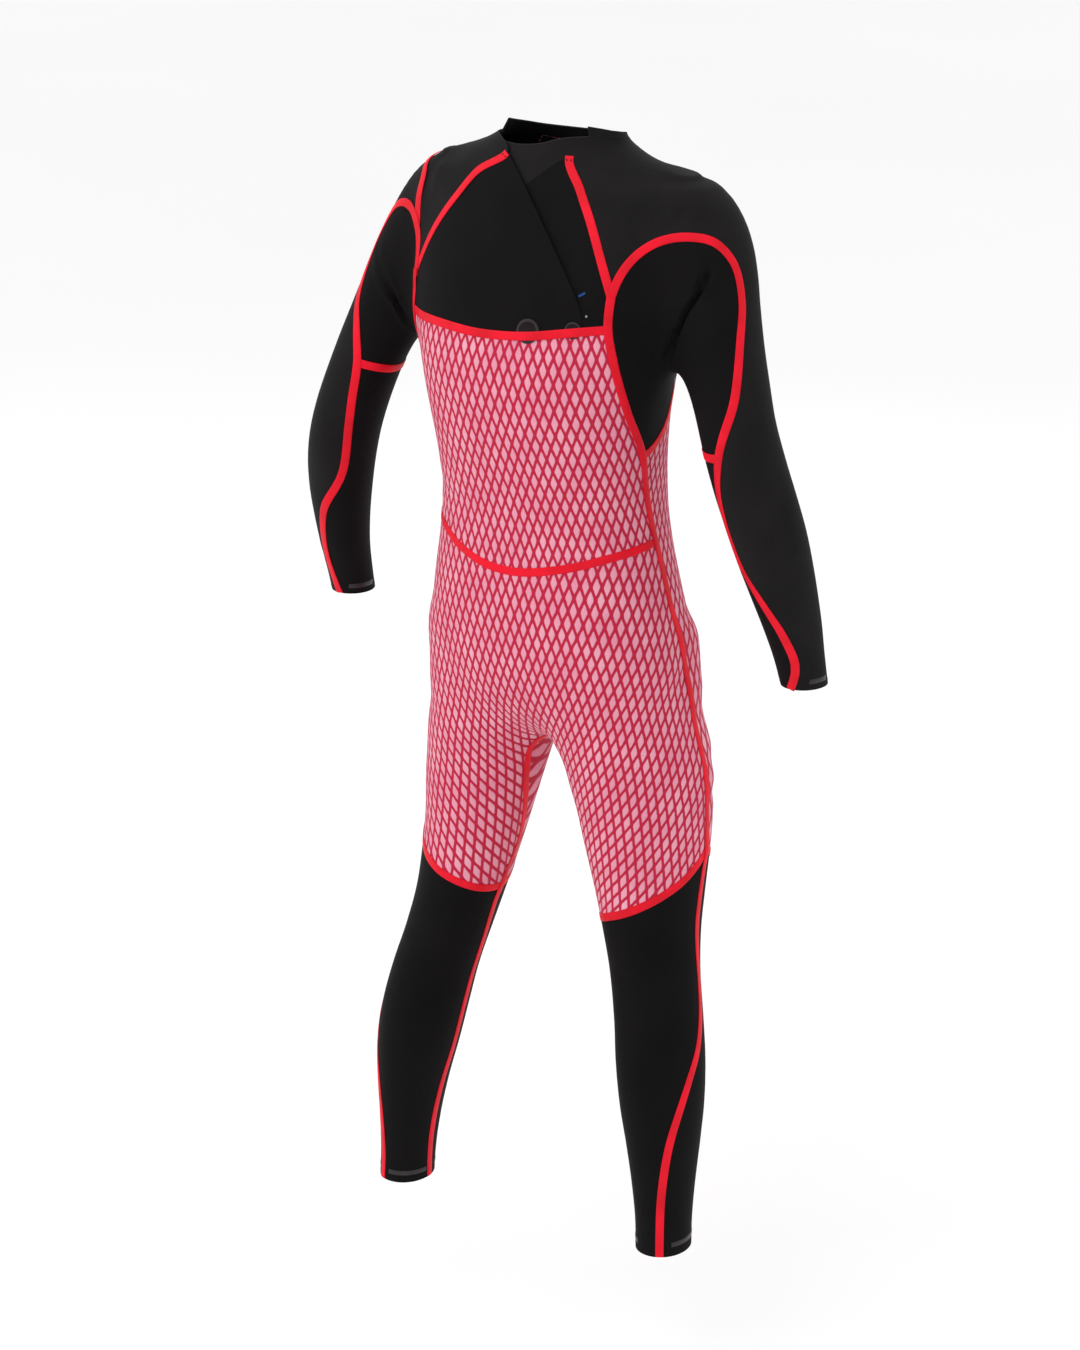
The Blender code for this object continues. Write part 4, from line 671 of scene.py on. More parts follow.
FOLDS = (
    # where the arms leave the back
    Fold(((-0.222, 0.047, 1.412), (-0.206, 0.074, 1.357), (-0.190, 0.082, 1.323), (-0.168, 0.075, 1.270)),
         0.0040, 0.0080),
    Fold(((-0.159, 0.068, 1.425), (-0.168, 0.060, 1.437), (-0.180, 0.050, 1.450)), 0.0040, 0.0018),
    Fold(((0.232, 0.058, 1.372), (0.210, 0.072, 1.340), (0.191, 0.083, 1.311), (0.170, 0.075, 1.272)),
         0.0044, 0.0066),
    # broad soft changes of shape: fuller hips, a leaner thigh and left shoulder
    Fold(((0.148, 0.070, 0.965), (0.150, 0.075, 0.890), (0.158, 0.070, 0.820)), 0.045, -0.0045),
    Fold(((-0.148, -0.040, 0.965), (-0.155, -0.045, 0.890), (-0.160, -0.050, 0.830)), 0.040, -0.0060),
    Fold(((-0.165, -0.055, 0.790), (-0.165, -0.050, 0.755), (-0.165, -0.045, 0.715)), 0.030, 0.0040),
    Fold(((0.150, 0.060, 1.462), (0.180, 0.045, 1.452), (0.205, 0.025, 1.432)), 0.028, 0.0048),
    # from the armpit round to the front
    Fold(((0.170, 0.030, 1.262), (0.178, 0.005, 1.290), (0.170, -0.030, 1.325)), 0.0070, 0.0030, True),
    # across the upper back and over the yoke
    Fold(((0.130, 0.105, 1.385), (0.080, 0.126, 1.372), (0.030, 0.136, 1.366)), 0.0110, 0.0008),
    Fold(((0.120, 0.128, 1.222), (0.060, 0.150, 1.208), (0.000, 0.156, 1.204)), 0.0130, 0.0010),
    Fold(((-0.124, 0.118, 1.205), (-0.090, 0.142, 1.190), (-0.040, 0.152, 1.186)), 0.0120, 0.0009),
    # waist
    Fold(((0.134, 0.075, 1.115), (0.100, 0.112, 1.098), (0.050, 0.130, 1.092)), 0.0100, 0.0012),
    Fold(((-0.136, 0.055, 1.118), (-0.118, 0.098, 1.104), (-0.070, 0.125, 1.096)), 0.0100, 0.0012),
    Fold(((-0.145, 0.030, 1.030), (-0.120, 0.090, 1.012), (-0.080, 0.118, 1.004)), 0.0100, 0.0009),
    Fold(((0.139, -0.020, 1.092), (0.100, -0.046, 1.078), (0.040, -0.060, 1.070)), 0.0110, 0.0014, True),
    Fold(((0.142, -0.010, 1.140), (0.110, -0.040, 1.132), (0.070, -0.052, 1.128)), 0.0100, 0.0009, True),
    # below the seat and at the groin
    Fold(((-0.150, 0.072, 0.872), (-0.106, 0.106, 0.832), (-0.050, 0.104, 0.812)), 0.0110, 0.0013),
    Fold(((0.140, 0.080, 0.868), (0.090, 0.108, 0.832), (0.040, 0.096, 0.812)), 0.0110, 0.0013),
    Fold(((0.030, -0.060, 0.822), (0.085, -0.088, 0.862), (0.140, -0.070, 0.915)), 0.0090, 0.0020, True),
    Fold(((0.045, -0.060, 0.778), (0.090, -0.078, 0.800), (0.140, -0.056, 0.835)), 0.0100, 0.0012, True),
    # inside the elbows and behind them
    Fold(((-0.268, 0.104, 1.205), (-0.290, 0.094, 1.188), (-0.308, 0.072, 1.178)), 0.0085, 0.0014),
    Fold(((-0.262, 0.108, 1.170), (-0.286, 0.104, 1.160), (-0.306, 0.088, 1.146)), 0.0085, 0.0011),
    Fold(((0.232, 0.018, 1.178), (0.256, 0.006, 1.166), (0.284, 0.010, 1.160)), 0.0075, 0.0022, True),
    Fold(((0.230, 0.022, 1.210), (0.252, 0.010, 1.205), (0.276, 0.012, 1.200)), 0.0070, 0.0014, True),
    Fold(((0.262, 0.100, 1.128), (0.284, 0.100, 1.118), (0.306, 0.086, 1.112)), 0.0090, 0.0009, True),
    # wrists
    Fold(((-0.300, 0.040, 0.962), (-0.322, 0.040, 0.956), (-0.338, 0.020, 0.954)), 0.0060, 0.0008),
    Fold(((0.300, 0.048, 0.975), (0.318, 0.050, 0.968), (0.334, 0.034, 0.962)), 0.0060, 0.0008),
    # behind the knees, and above the ankles
    Fold(((-0.112, 0.086, 0.538), (-0.150, 0.098, 0.528), (-0.192, 0.066, 0.520)), 0.0090, 0.0014),
    Fold(((-0.118, 0.084, 0.500), (-0.156, 0.104, 0.494), (-0.196, 0.076, 0.492)), 0.0090, 0.0010),
    Fold(((0.116, 0.082, 0.540), (0.152, 0.098, 0.530), (0.190, 0.068, 0.518)), 0.0090, 0.0013),
    Fold(((0.120, 0.084, 0.505), (0.158, 0.104, 0.498), (0.196, 0.078, 0.490)), 0.0090, 0.0010),
    Fold(((0.110, 0.000, 0.525), (0.142, -0.014, 0.516), (0.178, 0.000, 0.512)), 0.0100, 0.0010, True),
    Fold(((0.160, 0.118, 0.262), (0.186, 0.124, 0.256), (0.208, 0.110, 0.252)), 0.0070, 0.0008, True),
    Fold(((0.156, 0.060, 0.240), (0.180, 0.046, 0.236), (0.206, 0.056, 0.234)), 0.0070, 0.0007, True),
    # front of the chest
    Fold(((0.118, -0.046, 1.372), (0.090, -0.062, 1.320), (0.050, -0.066, 1.290)), 0.0120, 0.0010, True),
)


# -------------------------------------------------------------- panels ----
@dataclass
class Grid:
    """Rows and columns of points on the two sides of one sheet."""

    outer: Array
    inner: Array
    normal: Array


@dataclass
class PanelCutter:
    """Lays the suit's panels on the form, between the seams."""

    form: Form
    coarse: SeamPlan
    fine: SeamPlan
    folds: tuple[Fold, ...] = FOLDS

    # Which column it leads (None: the middle one), then its stretches: steps (None: the
    # panel's own), points on the way, and where it ends (None: on the panel's edge).
    GUIDES = {
        "shoulder_ridge": (None, [(12, [(0.105, 0.010, 1.498), (0.150, 0.004, 1.484)], None)]),
        "sleeve_ridge": (None, [(9, [(0.210, 0.006, 1.438), (0.236, 0.014, 1.385),
            (0.258, 0.028, 1.315), (0.280, 0.045, 1.250)],
            (0.303, 0.056, 1.185)),
            (6, [(0.322, 0.056, 1.120), (0.336, 0.044, 1.050),
            (0.342, 0.024, 0.980)], None)]),
        "armpit": (10, [(None, [(0.146, 0.060, 1.210), (0.158, 0.052, 1.245), (0.178, 0.046, 1.272),
            (0.197, 0.047, 1.255), (0.207, 0.052, 1.235)], None)]),
        "fore_line": (8, [(6, [(0.240, 0.050, 1.140), (0.256, 0.040, 1.080), (0.272, 0.026, 1.020),
            (0.283, 0.010, 0.960)], None)]),
        "calf_line": (5, [(13, [(0.130, 0.088, 0.580), (0.146, 0.100, 0.500), (0.166, 0.120, 0.420),
            (0.174, 0.126, 0.340), (0.178, 0.123, 0.260)], None)]),
        "shin_line": (4, [(13, [(0.134, -0.026, 0.560), (0.150, -0.006, 0.490), (0.166, 0.010, 0.420),
            (0.178, 0.026, 0.330), (0.185, 0.042, 0.240)], None)]),
        "seat_line": (5, [(14, [(0.070, 0.130, 0.960), (0.076, 0.128, 0.900), (0.084, 0.118, 0.840),
            (0.094, 0.108, 0.780), (0.104, 0.098, 0.700)], None)]),
        "front_line": (4, [(34, [(0.045, -0.060, 1.440), (0.066, -0.060, 1.360), (0.074, -0.054, 1.280),
            (0.072, -0.048, 1.190), (0.070, -0.056, 1.100), (0.074, -0.066, 1.030),
            (0.084, -0.082, 0.950), (0.090, -0.086, 0.880), (0.096, -0.082, 0.800),
            (0.106, -0.070, 0.730)], None)]),
    }
    COLLAR = ((-0.052, 0.050, 1.532), (-0.069, 0.018, 1.523), (-0.056, -0.020, 1.515),
              (0.0, -0.042, 1.511), (0.056, -0.020, 1.515), (0.073, 0.008, 1.524),
              (0.071, 0.030, 1.529))
    COLLAR_ROWS = 2
    KEEP = 0.3                    # share of its old place that a point keeps in one round
    RAISE_APART = (-0.080, -0.030)    # distances from the closure's edge, with a minus sign,
    RAISE_HEIGHTS = (1.322, 1.360)    # and heights, between which its upper layer rises
    WELD_REACH = 2.5 * HALF_GAP
    # name, where, top, bottom, first column, last column, guide
    PANELS = (
        ("shoulder", "sides", "-neck_drop neck_side", "arc_high shoulder_seam -arc_fore",
         "raglan_back", "raglan_front", "shoulder_ridge"),
        ("sleeve", "sides", "shoulder_seam", "wrist_out", "arc_back fore_back",
         "arc_front fore_front", "sleeve_ridge"),
        ("underarm", "sides", "corner side_high -front_side", "elbow", "arc_high arc_back",
         "arc_fore arc_front", "armpit"),
        ("forearm", "sides", "elbow", "wrist_in", "fore_back", "fore_front", "fore_line"),
        ("calf", "sides", "thigh_back", "ankle_back", "leg_out", "leg_in", "calf_line"),
        ("shin", "sides", "thigh_front", "ankle_front", "leg_out", "leg_in", "shin_line"),
        ("seat", "halves", "waist_half", "thigh_back", "side_hip", "centre_back inseam", "seat_line"),
        ("front_body", "halves", "neck_fore", "thigh_front",
         "raglan_front front_side side_low side_hip", "centre_front inseam", "front_line"),
        ("back_body", "whole", "yoke_left yoke_right", "waist_left waist_right",
         "side_high@left side_low@left", "side_high@right side_low@right", None),
        ("yoke_over", "whole", "raglan_back@left", "-yoke_left", "slit", "corner@left", None),
        ("yoke_under", "whole", "flap_edge", "yoke_right", "tuck", "raglan_back@right corner@right",
         None),
        ("neck_flap", "whole", "flap_neck", "flap_edge", "tuck_drop", "neck_drop@right", None),
    )
    # piece: its node, and border, start and end of each edge that is no seam
    WELDS = {
        "shoulder_right": ("sleeve_right", (("top", 0, 2), ("bottom", 5, 13))),
        "sleeve_right": ("sleeve_right", (("top", 0, 8),)),
        "neck_flap": ("sleeve_right", (("last", 0, 2),)),
        "seat_right": ("seat", (("last", 0, 8),)),
        "seat_left": ("seat", (("last", 0, 8),)),
        "front_body_right": ("front_body", (("last", 0, 28),)),
        "front_body_left": ("front_body", (("last", 0, 28),)),
    }

    @staticmethod
    def between(first_row: Array, last_row: Array, first_column: Array,
                last_column: Array) -> Array:
        """Fill in a grid between its four edges.

        Args:
            first_row: The top edge.
            last_row: The bottom edge, in the same direction.
            first_column: The edge at the start of the rows.
            last_column: The edge at the end of the rows.

        Returns:
            Rows and columns of points.
        """
        u = (shares(first_row) + shares(last_row))[None, :, None] / 2
        v = (shares(first_column) + shares(last_column))[:, None, None] / 2
        across = (1 - v) * first_row[None] + v * last_row[None]
        down = (1 - u) * first_column[:, None] + u * last_column[:, None]
        corners = ((1 - u) * (1 - v) * first_row[0] + u * (1 - v) * first_row[-1]
                   + (1 - u) * v * last_row[0] + u * v * last_row[-1])
        return across + down - corners

    def guide_line(self, name: str, side: Optional[str], start: Array, end: Array,
                   rows: int) -> Array:
        """Draw the line that leads a wide panel's middle column over the form.

        Args:
            name: Name of the guide.
            side: Which side of the suit.
            start: The column's point on the top edge.
            end: The column's point on the bottom edge.
            rows: Steps from the top to the bottom.

        Returns:
            The points of the column.
        """
        lines, here = [], start
        for count, on_way, stop in self.GUIDES[name][1]:
            points = [here] + [np.array([SIGN[side] * p[0], p[1], p[2]]) for p in on_way]
            if stop is None:
                stop = end
            else:
                stop = self.form.lay([(SIGN[side] * stop[0], stop[1], stop[2])])[0]
            line, _ = smooth_line(points + [stop])
            line = spread(self.form.lay(line), count or rows)
            line[0], line[-1] = here, stop
            lines.append(line if not lines else line[1:])
            here = stop
        return np.concatenate(lines)

    def lay_grid(self, edges: Sequence[Array], guide: Optional[str], side: Optional[str],
                 rounds: int = 24) -> Array:
        """Lay a grid on the form between four edges, evened out without folding.

        Args:
            edges: Top, bottom, first column and last column.
            guide: Name of the guide for its middle column, if any.
            side: Which side of the suit, or None.
            rounds: How often it is evened out.

        Returns:
            Rows and columns of points.
        """
        first_row, last_row, first_column, last_column = edges
        if guide:
            column = self.GUIDES[guide][0] or (len(first_row) - 1) // 2
            middle = self.guide_line(guide, side, first_row[column], last_row[column],
                                     len(first_column) - 1)
            halves = [self.between(first_row[:column + 1], last_row[:column + 1], first_column, middle),
                      self.between(first_row[column:], last_row[column:], middle, last_column)]
            grid = np.concatenate([halves[0], halves[1][:, 1:]], axis=1)
        else:
            grid = self.between(*edges)
        inner = grid[1:-1, 1:-1]
        inner[:] = self.form.lay(inner)
        for _ in range(rounds):
            east, west = grid[1:-1, 2:], grid[1:-1, :-2]
            south, north = grid[2:, 1:-1], grid[:-2, 1:-1]
            across, down = (east - west) / 2, (south - north) / 2
            a = (down * down).sum(-1, keepdims=True)
            b = (across * down).sum(-1, keepdims=True)
            c = (across * across).sum(-1, keepdims=True)
            twist = (grid[2:, 2:] - grid[:-2, 2:] - grid[2:, :-2] + grid[:-2, :-2]) / 4
            target = (a * (east + west) + c * (south + north) - 2 * b * twist) / (2 * (a + c))
            inner[:] = self.form.lay(inner * self.KEEP + target * (1 - self.KEEP), rounds=1)
        inner[:] = self.form.lay(inner)
        return grid

    def finer(self, grid: Array, edges: Sequence[Array]) -> Array:
        """Read a grid again in fine steps, with its borders exactly on the fine seams.

        Args:
            grid: The coarse grid.
            edges: Its fine top, bottom, first column and last column.

        Returns:
            The fine grid.
        """
        for _ in range(2):
            rows = grid.shape[0]
            table = np.column_stack([np.arange(rows), grid.reshape(rows, -1)])
            places = np.linspace(0, rows - 1, DETAIL * (rows - 1) + 1)
            read = read_rows(table, places, free_ends=True)
            grid = read.reshape(len(places), grid.shape[1], 3).transpose(1, 0, 2)
        top, bottom, first, last = edges
        u = np.linspace(0, 1, grid.shape[1])[None, :, None]
        v = np.linspace(0, 1, grid.shape[0])[:, None, None]
        off = (top - grid[0], bottom - grid[-1], first - grid[:, 0], last - grid[:, -1])
        grid = (grid + (1 - v) * off[0][None] + v * off[1][None]
                + (1 - u) * off[2][:, None] + u * off[3][:, None]
                - (1 - u) * (1 - v) * off[0][0] - u * (1 - v) * off[0][-1]
                - (1 - u) * v * off[1][0] - u * v * off[1][-1])
        grid[1:-1, 1:-1] = self.form.lay(grid[1:-1, 1:-1])
        return grid

    def overlap_raise(self, points: Array) -> Array:
        """Find how far the closure's upper layer stands up, by distance from its edge.

        Args:
            points: Points on the form.

        Returns:
            One height for each point.
        """
        edge = np.concatenate([self.coarse.stretches["neck_drop@left"],
                               self.coarse.stretches["slit"][1:]])
        apart, _ = line_distance(points, edge)
        return (OVERLAP_RAISE * ease(-apart, *self.RAISE_APART)
                * ease(points[..., 2], *self.RAISE_HEIGHTS))

    def folded(self, points: Array) -> Array:
        """How far the folds move points on the form outwards."""
        return sum((fold.height(points) for fold in self.folds), np.zeros(points.shape[:-1]))

    @staticmethod
    def cut_back(grid: Array, welds: Iterable[tuple[str, int, int]] = ()) -> Array:
        """Move a grid's free edges in by half a seam gap.

        Args:
            grid: Rows and columns of points.
            welds: Border, start and end of each stretch that isn't a seam.

        Returns:
            The grid as it is cut.
        """
        rows, columns = grid.shape[:2]
        free = {"top": np.ones((columns, 1)), "bottom": np.ones((columns, 1)),
                "first": np.ones((rows, 1)), "last": np.ones((rows, 1))}
        for border, start, end in welds:
            free[border][start * DETAIL:end * DETAIL + 1] = 0
        move = np.zeros_like(grid)
        move[0] += unit(grid[1] - grid[0]) * free["top"]
        move[-1] += unit(grid[-2] - grid[-1]) * free["bottom"]
        move[:, 0] += unit(grid[:, 1] - grid[:, 0]) * free["first"]
        move[:, -1] += unit(grid[:, -2] - grid[:, -1]) * free["last"]
        return grid + move * HALF_GAP

    @staticmethod
    def border(grid: Grid) -> list[tuple[int, int]]:
        """Find every point on a grid's border.

        Args:
            grid: The grid.

        Returns:
            The row and column of each.
        """
        rows, columns = grid.outer.shape[:2]
        return [(r, c) for r in range(rows) for c in range(columns)
                if r in (0, rows - 1) or c in (0, columns - 1)]

    def close_welds(self, grids: list[Grid]) -> None:
        """Bring points of one piece of cloth together where its grids are joined.

        Args:
            grids: The piece's grids, which are changed.
        """
        for i, mine in enumerate(grids):
            own = self.border(mine)
            for its in grids[i + 1:]:
                other = self.border(its)
                a = np.array([mine.outer[p] for p in own])
                b = np.array([its.outer[p] for p in other])
                apart = np.linalg.norm(a[:, None] - b[None], axis=-1)
                for m, n in np.argwhere(apart < self.WELD_REACH):
                    for x, y in ((mine.outer, its.outer), (mine.inner, its.inner)):
                        mean = (x[own[m]] + y[other[n]]) / 2
                        x[own[m]] = y[other[n]] = mean

    def sheet(self, points: Array, lift: Array) -> Grid:
        """Make the two sides of a sheet, with its folds.

        Args:
            points: Rows and columns of points on the form.
            lift: How far the sheet stands above each of them.

        Returns:
            The sheet.
        """
        normal = self.form.outward(points)
        outer = points + normal * (lift + self.folded(points))[..., None]
        return Grid(outer, outer - normal * WALL, normal)

    def lay_all(self) -> dict[str, list[Grid]]:
        """Lay every panel.

        Returns:
            The grids of each piece, by the node that it stands for.
        """
        shells: dict[str, list[Grid]] = {}
        for name, where, top, bottom, first, last, guide in self.PANELS:
            for side in SIDES[where]:
                words = (top, bottom, first, last)
                coarse = self.lay_grid([self.coarse.join(w, side) for w in words], guide, side)
                grid = self.finer(coarse, [self.fine.join(w, side) for w in words])
                piece = f"{name}_{side}" if side else name
                node, welds = self.WELDS.get(piece, (piece, ()))
                laid = self.cut_back(grid, welds)
                if where == "halves":
                    row = welds[0][2] * DETAIL
                    laid[row, -1] = grid[row, -1] + unit(grid[row - 1, -1] - grid[row, -1]) * HALF_GAP
                lift = np.zeros(grid.shape[:2])
                if piece in ("yoke_over", "shoulder_left"):
                    lift = self.overlap_raise(grid)
                shells.setdefault(node, []).append(self.sheet(laid, lift))
        for grids in shells.values():
            self.close_welds(grids)
        shells["collar"] = [self.lay_collar()]
        return shells

    def lay_collar(self) -> Grid:
        """Lay the standing collar, from the back of the right side round to the left.

        Returns:
            Its grid.
        """
        foot = self.fine.neckline()
        rim, _ = smooth_line(self.form.lay(self.COLLAR))
        rim = self.form.lay(spread(self.form.lay(rim), len(foot) - 1))
        rows = self.COLLAR_ROWS * DETAIL
        sides = [spread(np.array([foot[i], rim[i]]), rows) for i in (0, -1)]
        grid = self.lay_grid([foot, rim, sides[0], sides[1]], None, None, rounds=0)
        return self.sheet(self.cut_back(grid), np.zeros(grid.shape[:2]))


# -------------------------------------------------------------- meshes ----
@dataclass
class ClothMesh:
    """Turns grids into one closed mesh with a rounded rim."""

    grids: list[Grid]
    bulge: float = 0.0006

    def build(self, name: str, map_points: Optional[Callable[[Mesh], Array]] = None,
              plain: Optional[list[Array]] = None) -> Mesh:
        """Build the mesh.

        Args:
            name: Name of the mesh.
            map_points: Makes a place on the cloth for each point from the outer side.
            plain: Places on the cloth for each grid, where they are already known.

        Returns:
            A mesh whose first material is the outer side's and second the inner side's.
        """
        index: dict[bytes, int] = {}
        outer, inner, faces, places = [], [], [], []
        for number, grid in enumerate(self.grids):
            rows, columns = grid.outer.shape[:2]
            ids = np.empty((rows, columns), int)
            for r in range(rows):
                for c in range(columns):
                    key = grid.outer[r, c].tobytes()
                    if key not in index:
                        index[key] = len(outer)
                        outer.append(grid.outer[r, c])
                        inner.append(grid.inner[r, c])
                        if plain is not None:
                            places.append(plain[number][r, c])
                    ids[r, c] = index[key]
            across = grid.outer[:-1, 1:] - grid.outer[:-1, :-1]
            down = grid.outer[1:, :-1] - grid.outer[:-1, :-1]
            facing = (np.cross(across, down) * grid.normal[:-1, :-1]).sum(-1)
            quads = np.stack([ids[:-1, :-1], ids[:-1, 1:], ids[1:, 1:], ids[1:, :-1]], -1).reshape(-1, 4)
            faces.extend((quads if np.median(facing) > 0 else quads[:, ::-1]).tolist())
        outer_points, inner_points = np.array(outer), np.array(inner)
        if map_points is not None:
            flat = bpy.data.meshes.new(name + "_flat")
            flat.from_pydata((outer_points - ORIGIN).tolist(), [], faces)
            places = map_points(flat)
            bpy.data.meshes.remove(flat)
        edges: dict[tuple[int, int], int] = {}
        for face in faces:
            for a, b in zip(face, face[1:] + face[:1]):
                edges[(a, b)] = edges.get((a, b), 0) + 1
        rim = [(a, b) for a, b in edges if (b, a) not in edges and a != b]
        push = np.zeros_like(outer_points)
        for a, b in rim:
            way = np.cross(outer_points[b] - outer_points[a], outer_points[a] - inner_points[a])
            for vert in (a, b):
                push[vert] += unit(way)
        middle_of = {vert: i for i, vert in enumerate(sorted({v for pair in rim for v in pair}))}
        middles = np.array([(outer_points[v] + inner_points[v]) / 2 + unit(push[v]) * self.bulge
                            for v in middle_of])
        count = len(outer_points)
        all_faces = faces + [[v + count for v in reversed(face)] for face in faces]
        for a, b in rim:
            low, high = 2 * count + middle_of[a], 2 * count + middle_of[b]
            all_faces.append([b, a, low, high])
            all_faces.append([high, low, a + count, b + count])
        points = np.concatenate([outer_points, inner_points, middles]) - ORIGIN
        mesh = bpy.data.meshes.new(name)
        mesh.from_pydata(points.tolist(), [], all_faces)
        mesh.polygons.foreach_set("material_index", np.concatenate([
            np.zeros(len(faces), int), np.ones(len(faces), int), np.zeros(2 * len(rim), int)]))
        if len(places):
            places = np.asarray(places)
            of_middle = places[list(middle_of)]
            by_vertex = np.concatenate([places, places, of_middle])
            loops = read_all(mesh.loops, "vertex_index", kind=int)
            mesh.uv_layers.new(name="cloth").data.foreach_set("uv", by_vertex[loops].ravel())
        mesh.validate()
        mesh.shade_smooth()
        mesh.set_sharp_from_angle(angle=SHARP_CLOTH)
        return mesh


@dataclass(frozen=True)
class FlatCut:
    """Lays a panel out flat, so that its pattern follows the cloth."""

    top: Point
    foot: Point

    def __call__(self, mesh: Mesh) -> Array:
        """Flatten a mesh.

        Args:
            mesh: The outer side alone, without a hole.

        Returns:
            A place in metres for each of its points, upright, with 0 at the foot.
        """
        obj = bpy.data.objects.new(mesh.name, mesh)
        bpy.context.scene.collection.objects.link(obj)
        bpy.context.view_layer.objects.active = obj
        obj.select_set(True)
        mesh.uv_layers.new(name="flat")
        bpy.ops.object.mode_set(mode="EDIT")
        bpy.ops.mesh.select_all(action="SELECT")
        bpy.ops.uv.unwrap(method="CONFORMAL", margin=0.0)
        bpy.ops.object.mode_set(mode="OBJECT")
        flat = np.zeros((len(mesh.vertices), 2))
        loops = read_all(mesh.loops, "vertex_index", kind=int)
        flat[loops] = read_all(mesh.uv_layers["flat"].data, "uv", 2)
        points = read_all(mesh.vertices, "co", 3) + ORIGIN
        pairs = read_all(mesh.edges, "vertices", 2, int)
        real = np.linalg.norm(points[pairs[:, 0]] - points[pairs[:, 1]], axis=1)
        drawn = np.linalg.norm(flat[pairs[:, 0]] - flat[pairs[:, 1]], axis=1)
        flat *= np.median(real / np.maximum(drawn, 1e-9))
        ends = [np.argmin(np.linalg.norm(points - np.array(end), axis=1)) for end in (self.top, self.foot)]
        up = unit(flat[ends[0]] - flat[ends[1]])
        flat = (flat - flat[ends[1]]) @ np.array([[up[1], up[0]], [-up[0], up[1]]])
        if np.corrcoef(flat[:, 0], points[:, 0])[0, 1] < 0:
            flat[:, 0] *= -1
        obj.select_set(False)
        bpy.data.objects.remove(obj)
        return flat


class Ground:
    """Everything laid so far, to lay the next piece on."""

    def __init__(self) -> None:
        """Start with nothing laid."""
        self.points: list[Vector] = []
        self.faces: list[tuple[int, ...]] = []
        self.tree: Optional[BVHTree] = None

    def add(self, mesh: Mesh) -> None:
        """Add a closed mesh.

        Args:
            mesh: The mesh, in the row frame.
        """
        start = len(self.points)
        self.points.extend(vert.co.copy() for vert in mesh.vertices)
        self.faces.extend(tuple(start + i for i in face.vertices) for face in mesh.polygons)
        self.tree = None

    def height(self, points: Array, normals: Array, reach: float = 0.009) -> Array:
        """Measure how high the laid pieces stand over points on the form.

        Args:
            points: Points on the form, above the floor.
            normals: Their directions outwards.
            reach: How far out the rays start.

        Returns:
            One height for each point, -1 where nothing is laid.
        """
        if self.tree is None:
            self.tree = BVHTree.FromPolygons(self.points, self.faces)
        starts = (points + normals * reach - ORIGIN).reshape(-1, 3)
        ways = -normals.reshape(-1, 3)
        found = np.full(len(starts), -1.0)
        for i, (start, way) in enumerate(zip(starts, ways)):
            hit = self.tree.ray_cast(Vector(start), Vector(way), 2 * reach)[3]
            if hit is not None:
                found[i] = reach - hit
        return found.reshape(points.shape[:-1])


# ------------------------------------------------------------ finishes ----
@dataclass
class ShaderTree:
    """Small helper that builds a material's nodes."""

    name: str
    material: Material = field(init=False)
    shader: bpy.types.Node = field(init=False)

    def __post_init__(self) -> None:
        """Make the material with its Principled shader."""
        self.material = bpy.data.materials.new(self.name)
        self.material.use_nodes = True
        self.shader = self.material.node_tree.nodes["Principled BSDF"]

    def node(self, kind: str, inputs: Optional[dict] = None, **settings: Any) -> bpy.types.Node:
        """Add a node.

        Args:
            kind: Node type.
            inputs: Values or output sockets, by input name or index.
            settings: Attributes of the node.

        Returns:
            The node.
        """
        made = self.material.node_tree.nodes.new(kind)
        for key, value in settings.items():
            setattr(made, key, value)
        for key, value in (inputs or {}).items():
            if isinstance(value, Socket):
                self.material.node_tree.links.new(value, made.inputs[key])
            else:
                made.inputs[key].default_value = value
        return made

    def math(self, operation: str, a: Any, b: Any = 0.0, c: Any = 0.0) -> Socket:
        """The result of one sum on sockets or numbers."""
        return self.node("ShaderNodeMath", {0: a, 1: b, 2: c}, operation=operation).outputs[0]

    def ramp(self, factor: Any, stops: Sequence[tuple[float, tuple]]) -> Socket:
        """Add a colour ramp.

        Args:
            factor: What it reads.
            stops: Place and colour of each stop.

        Returns:
            The colour.
        """
        made = self.node("ShaderNodeValToRGB", {0: factor})
        elements = made.color_ramp.elements
        while len(elements) < len(stops):
            elements.new(0.5)
        for element, (place, colour) in zip(elements, stops):
            element.position = place
            element.color = (*colour, 1.0)
        return made.outputs[0]

    def mix(self, factor: Any, a: Any, b: Any) -> Socket:
        """Add a mix of two colours.

        Args:
            factor: How much of the second one.
            a: The first colour.
            b: The second colour.

        Returns:
            The colour.
        """
        made = self.node("ShaderNodeMix", data_type="RGBA")
        for socket, value in ((made.inputs[0], factor), (made.inputs[6], a), (made.inputs[7], b)):
            if isinstance(value, Socket):
                self.material.node_tree.links.new(value, socket)
            else:
                socket.default_value = value
        return made.outputs[2]

    def noise(self, place: Any, scale: float, detail: float = 2.0) -> Socket:
        """Noise from 0 to 1 at a place."""
        made = self.node("ShaderNodeTexNoise", {"Vector": place, "Scale": scale, "Detail": detail})
        return made.outputs["Fac"]

    def object_place(self) -> Socket:
        """The place on the object."""
        return self.node("ShaderNodeTexCoord").outputs["Object"]

    def link(self, value: Any, socket: str) -> None:
        """Feed one of the shader's own sockets.

        Args:
            value: A number, a colour or an output socket.
            socket: Name of the shader's input.
        """
        if isinstance(value, Socket):
            self.material.node_tree.links.new(value, self.shader.inputs[socket])
        else:
            self.shader.inputs[socket].default_value = value

    def bump(self, height: Any, strength: float, distance: float) -> None:
        """Put fine relief on the shader's normal.

        Args:
            height: The relief's height.
            strength: Share of it that shows.
            distance: Its full height in metres.
        """
        made = self.node("ShaderNodeBump", {"Height": height, "Strength": strength,
                                            "Distance": distance})
        self.link(made.outputs["Normal"], "Normal")


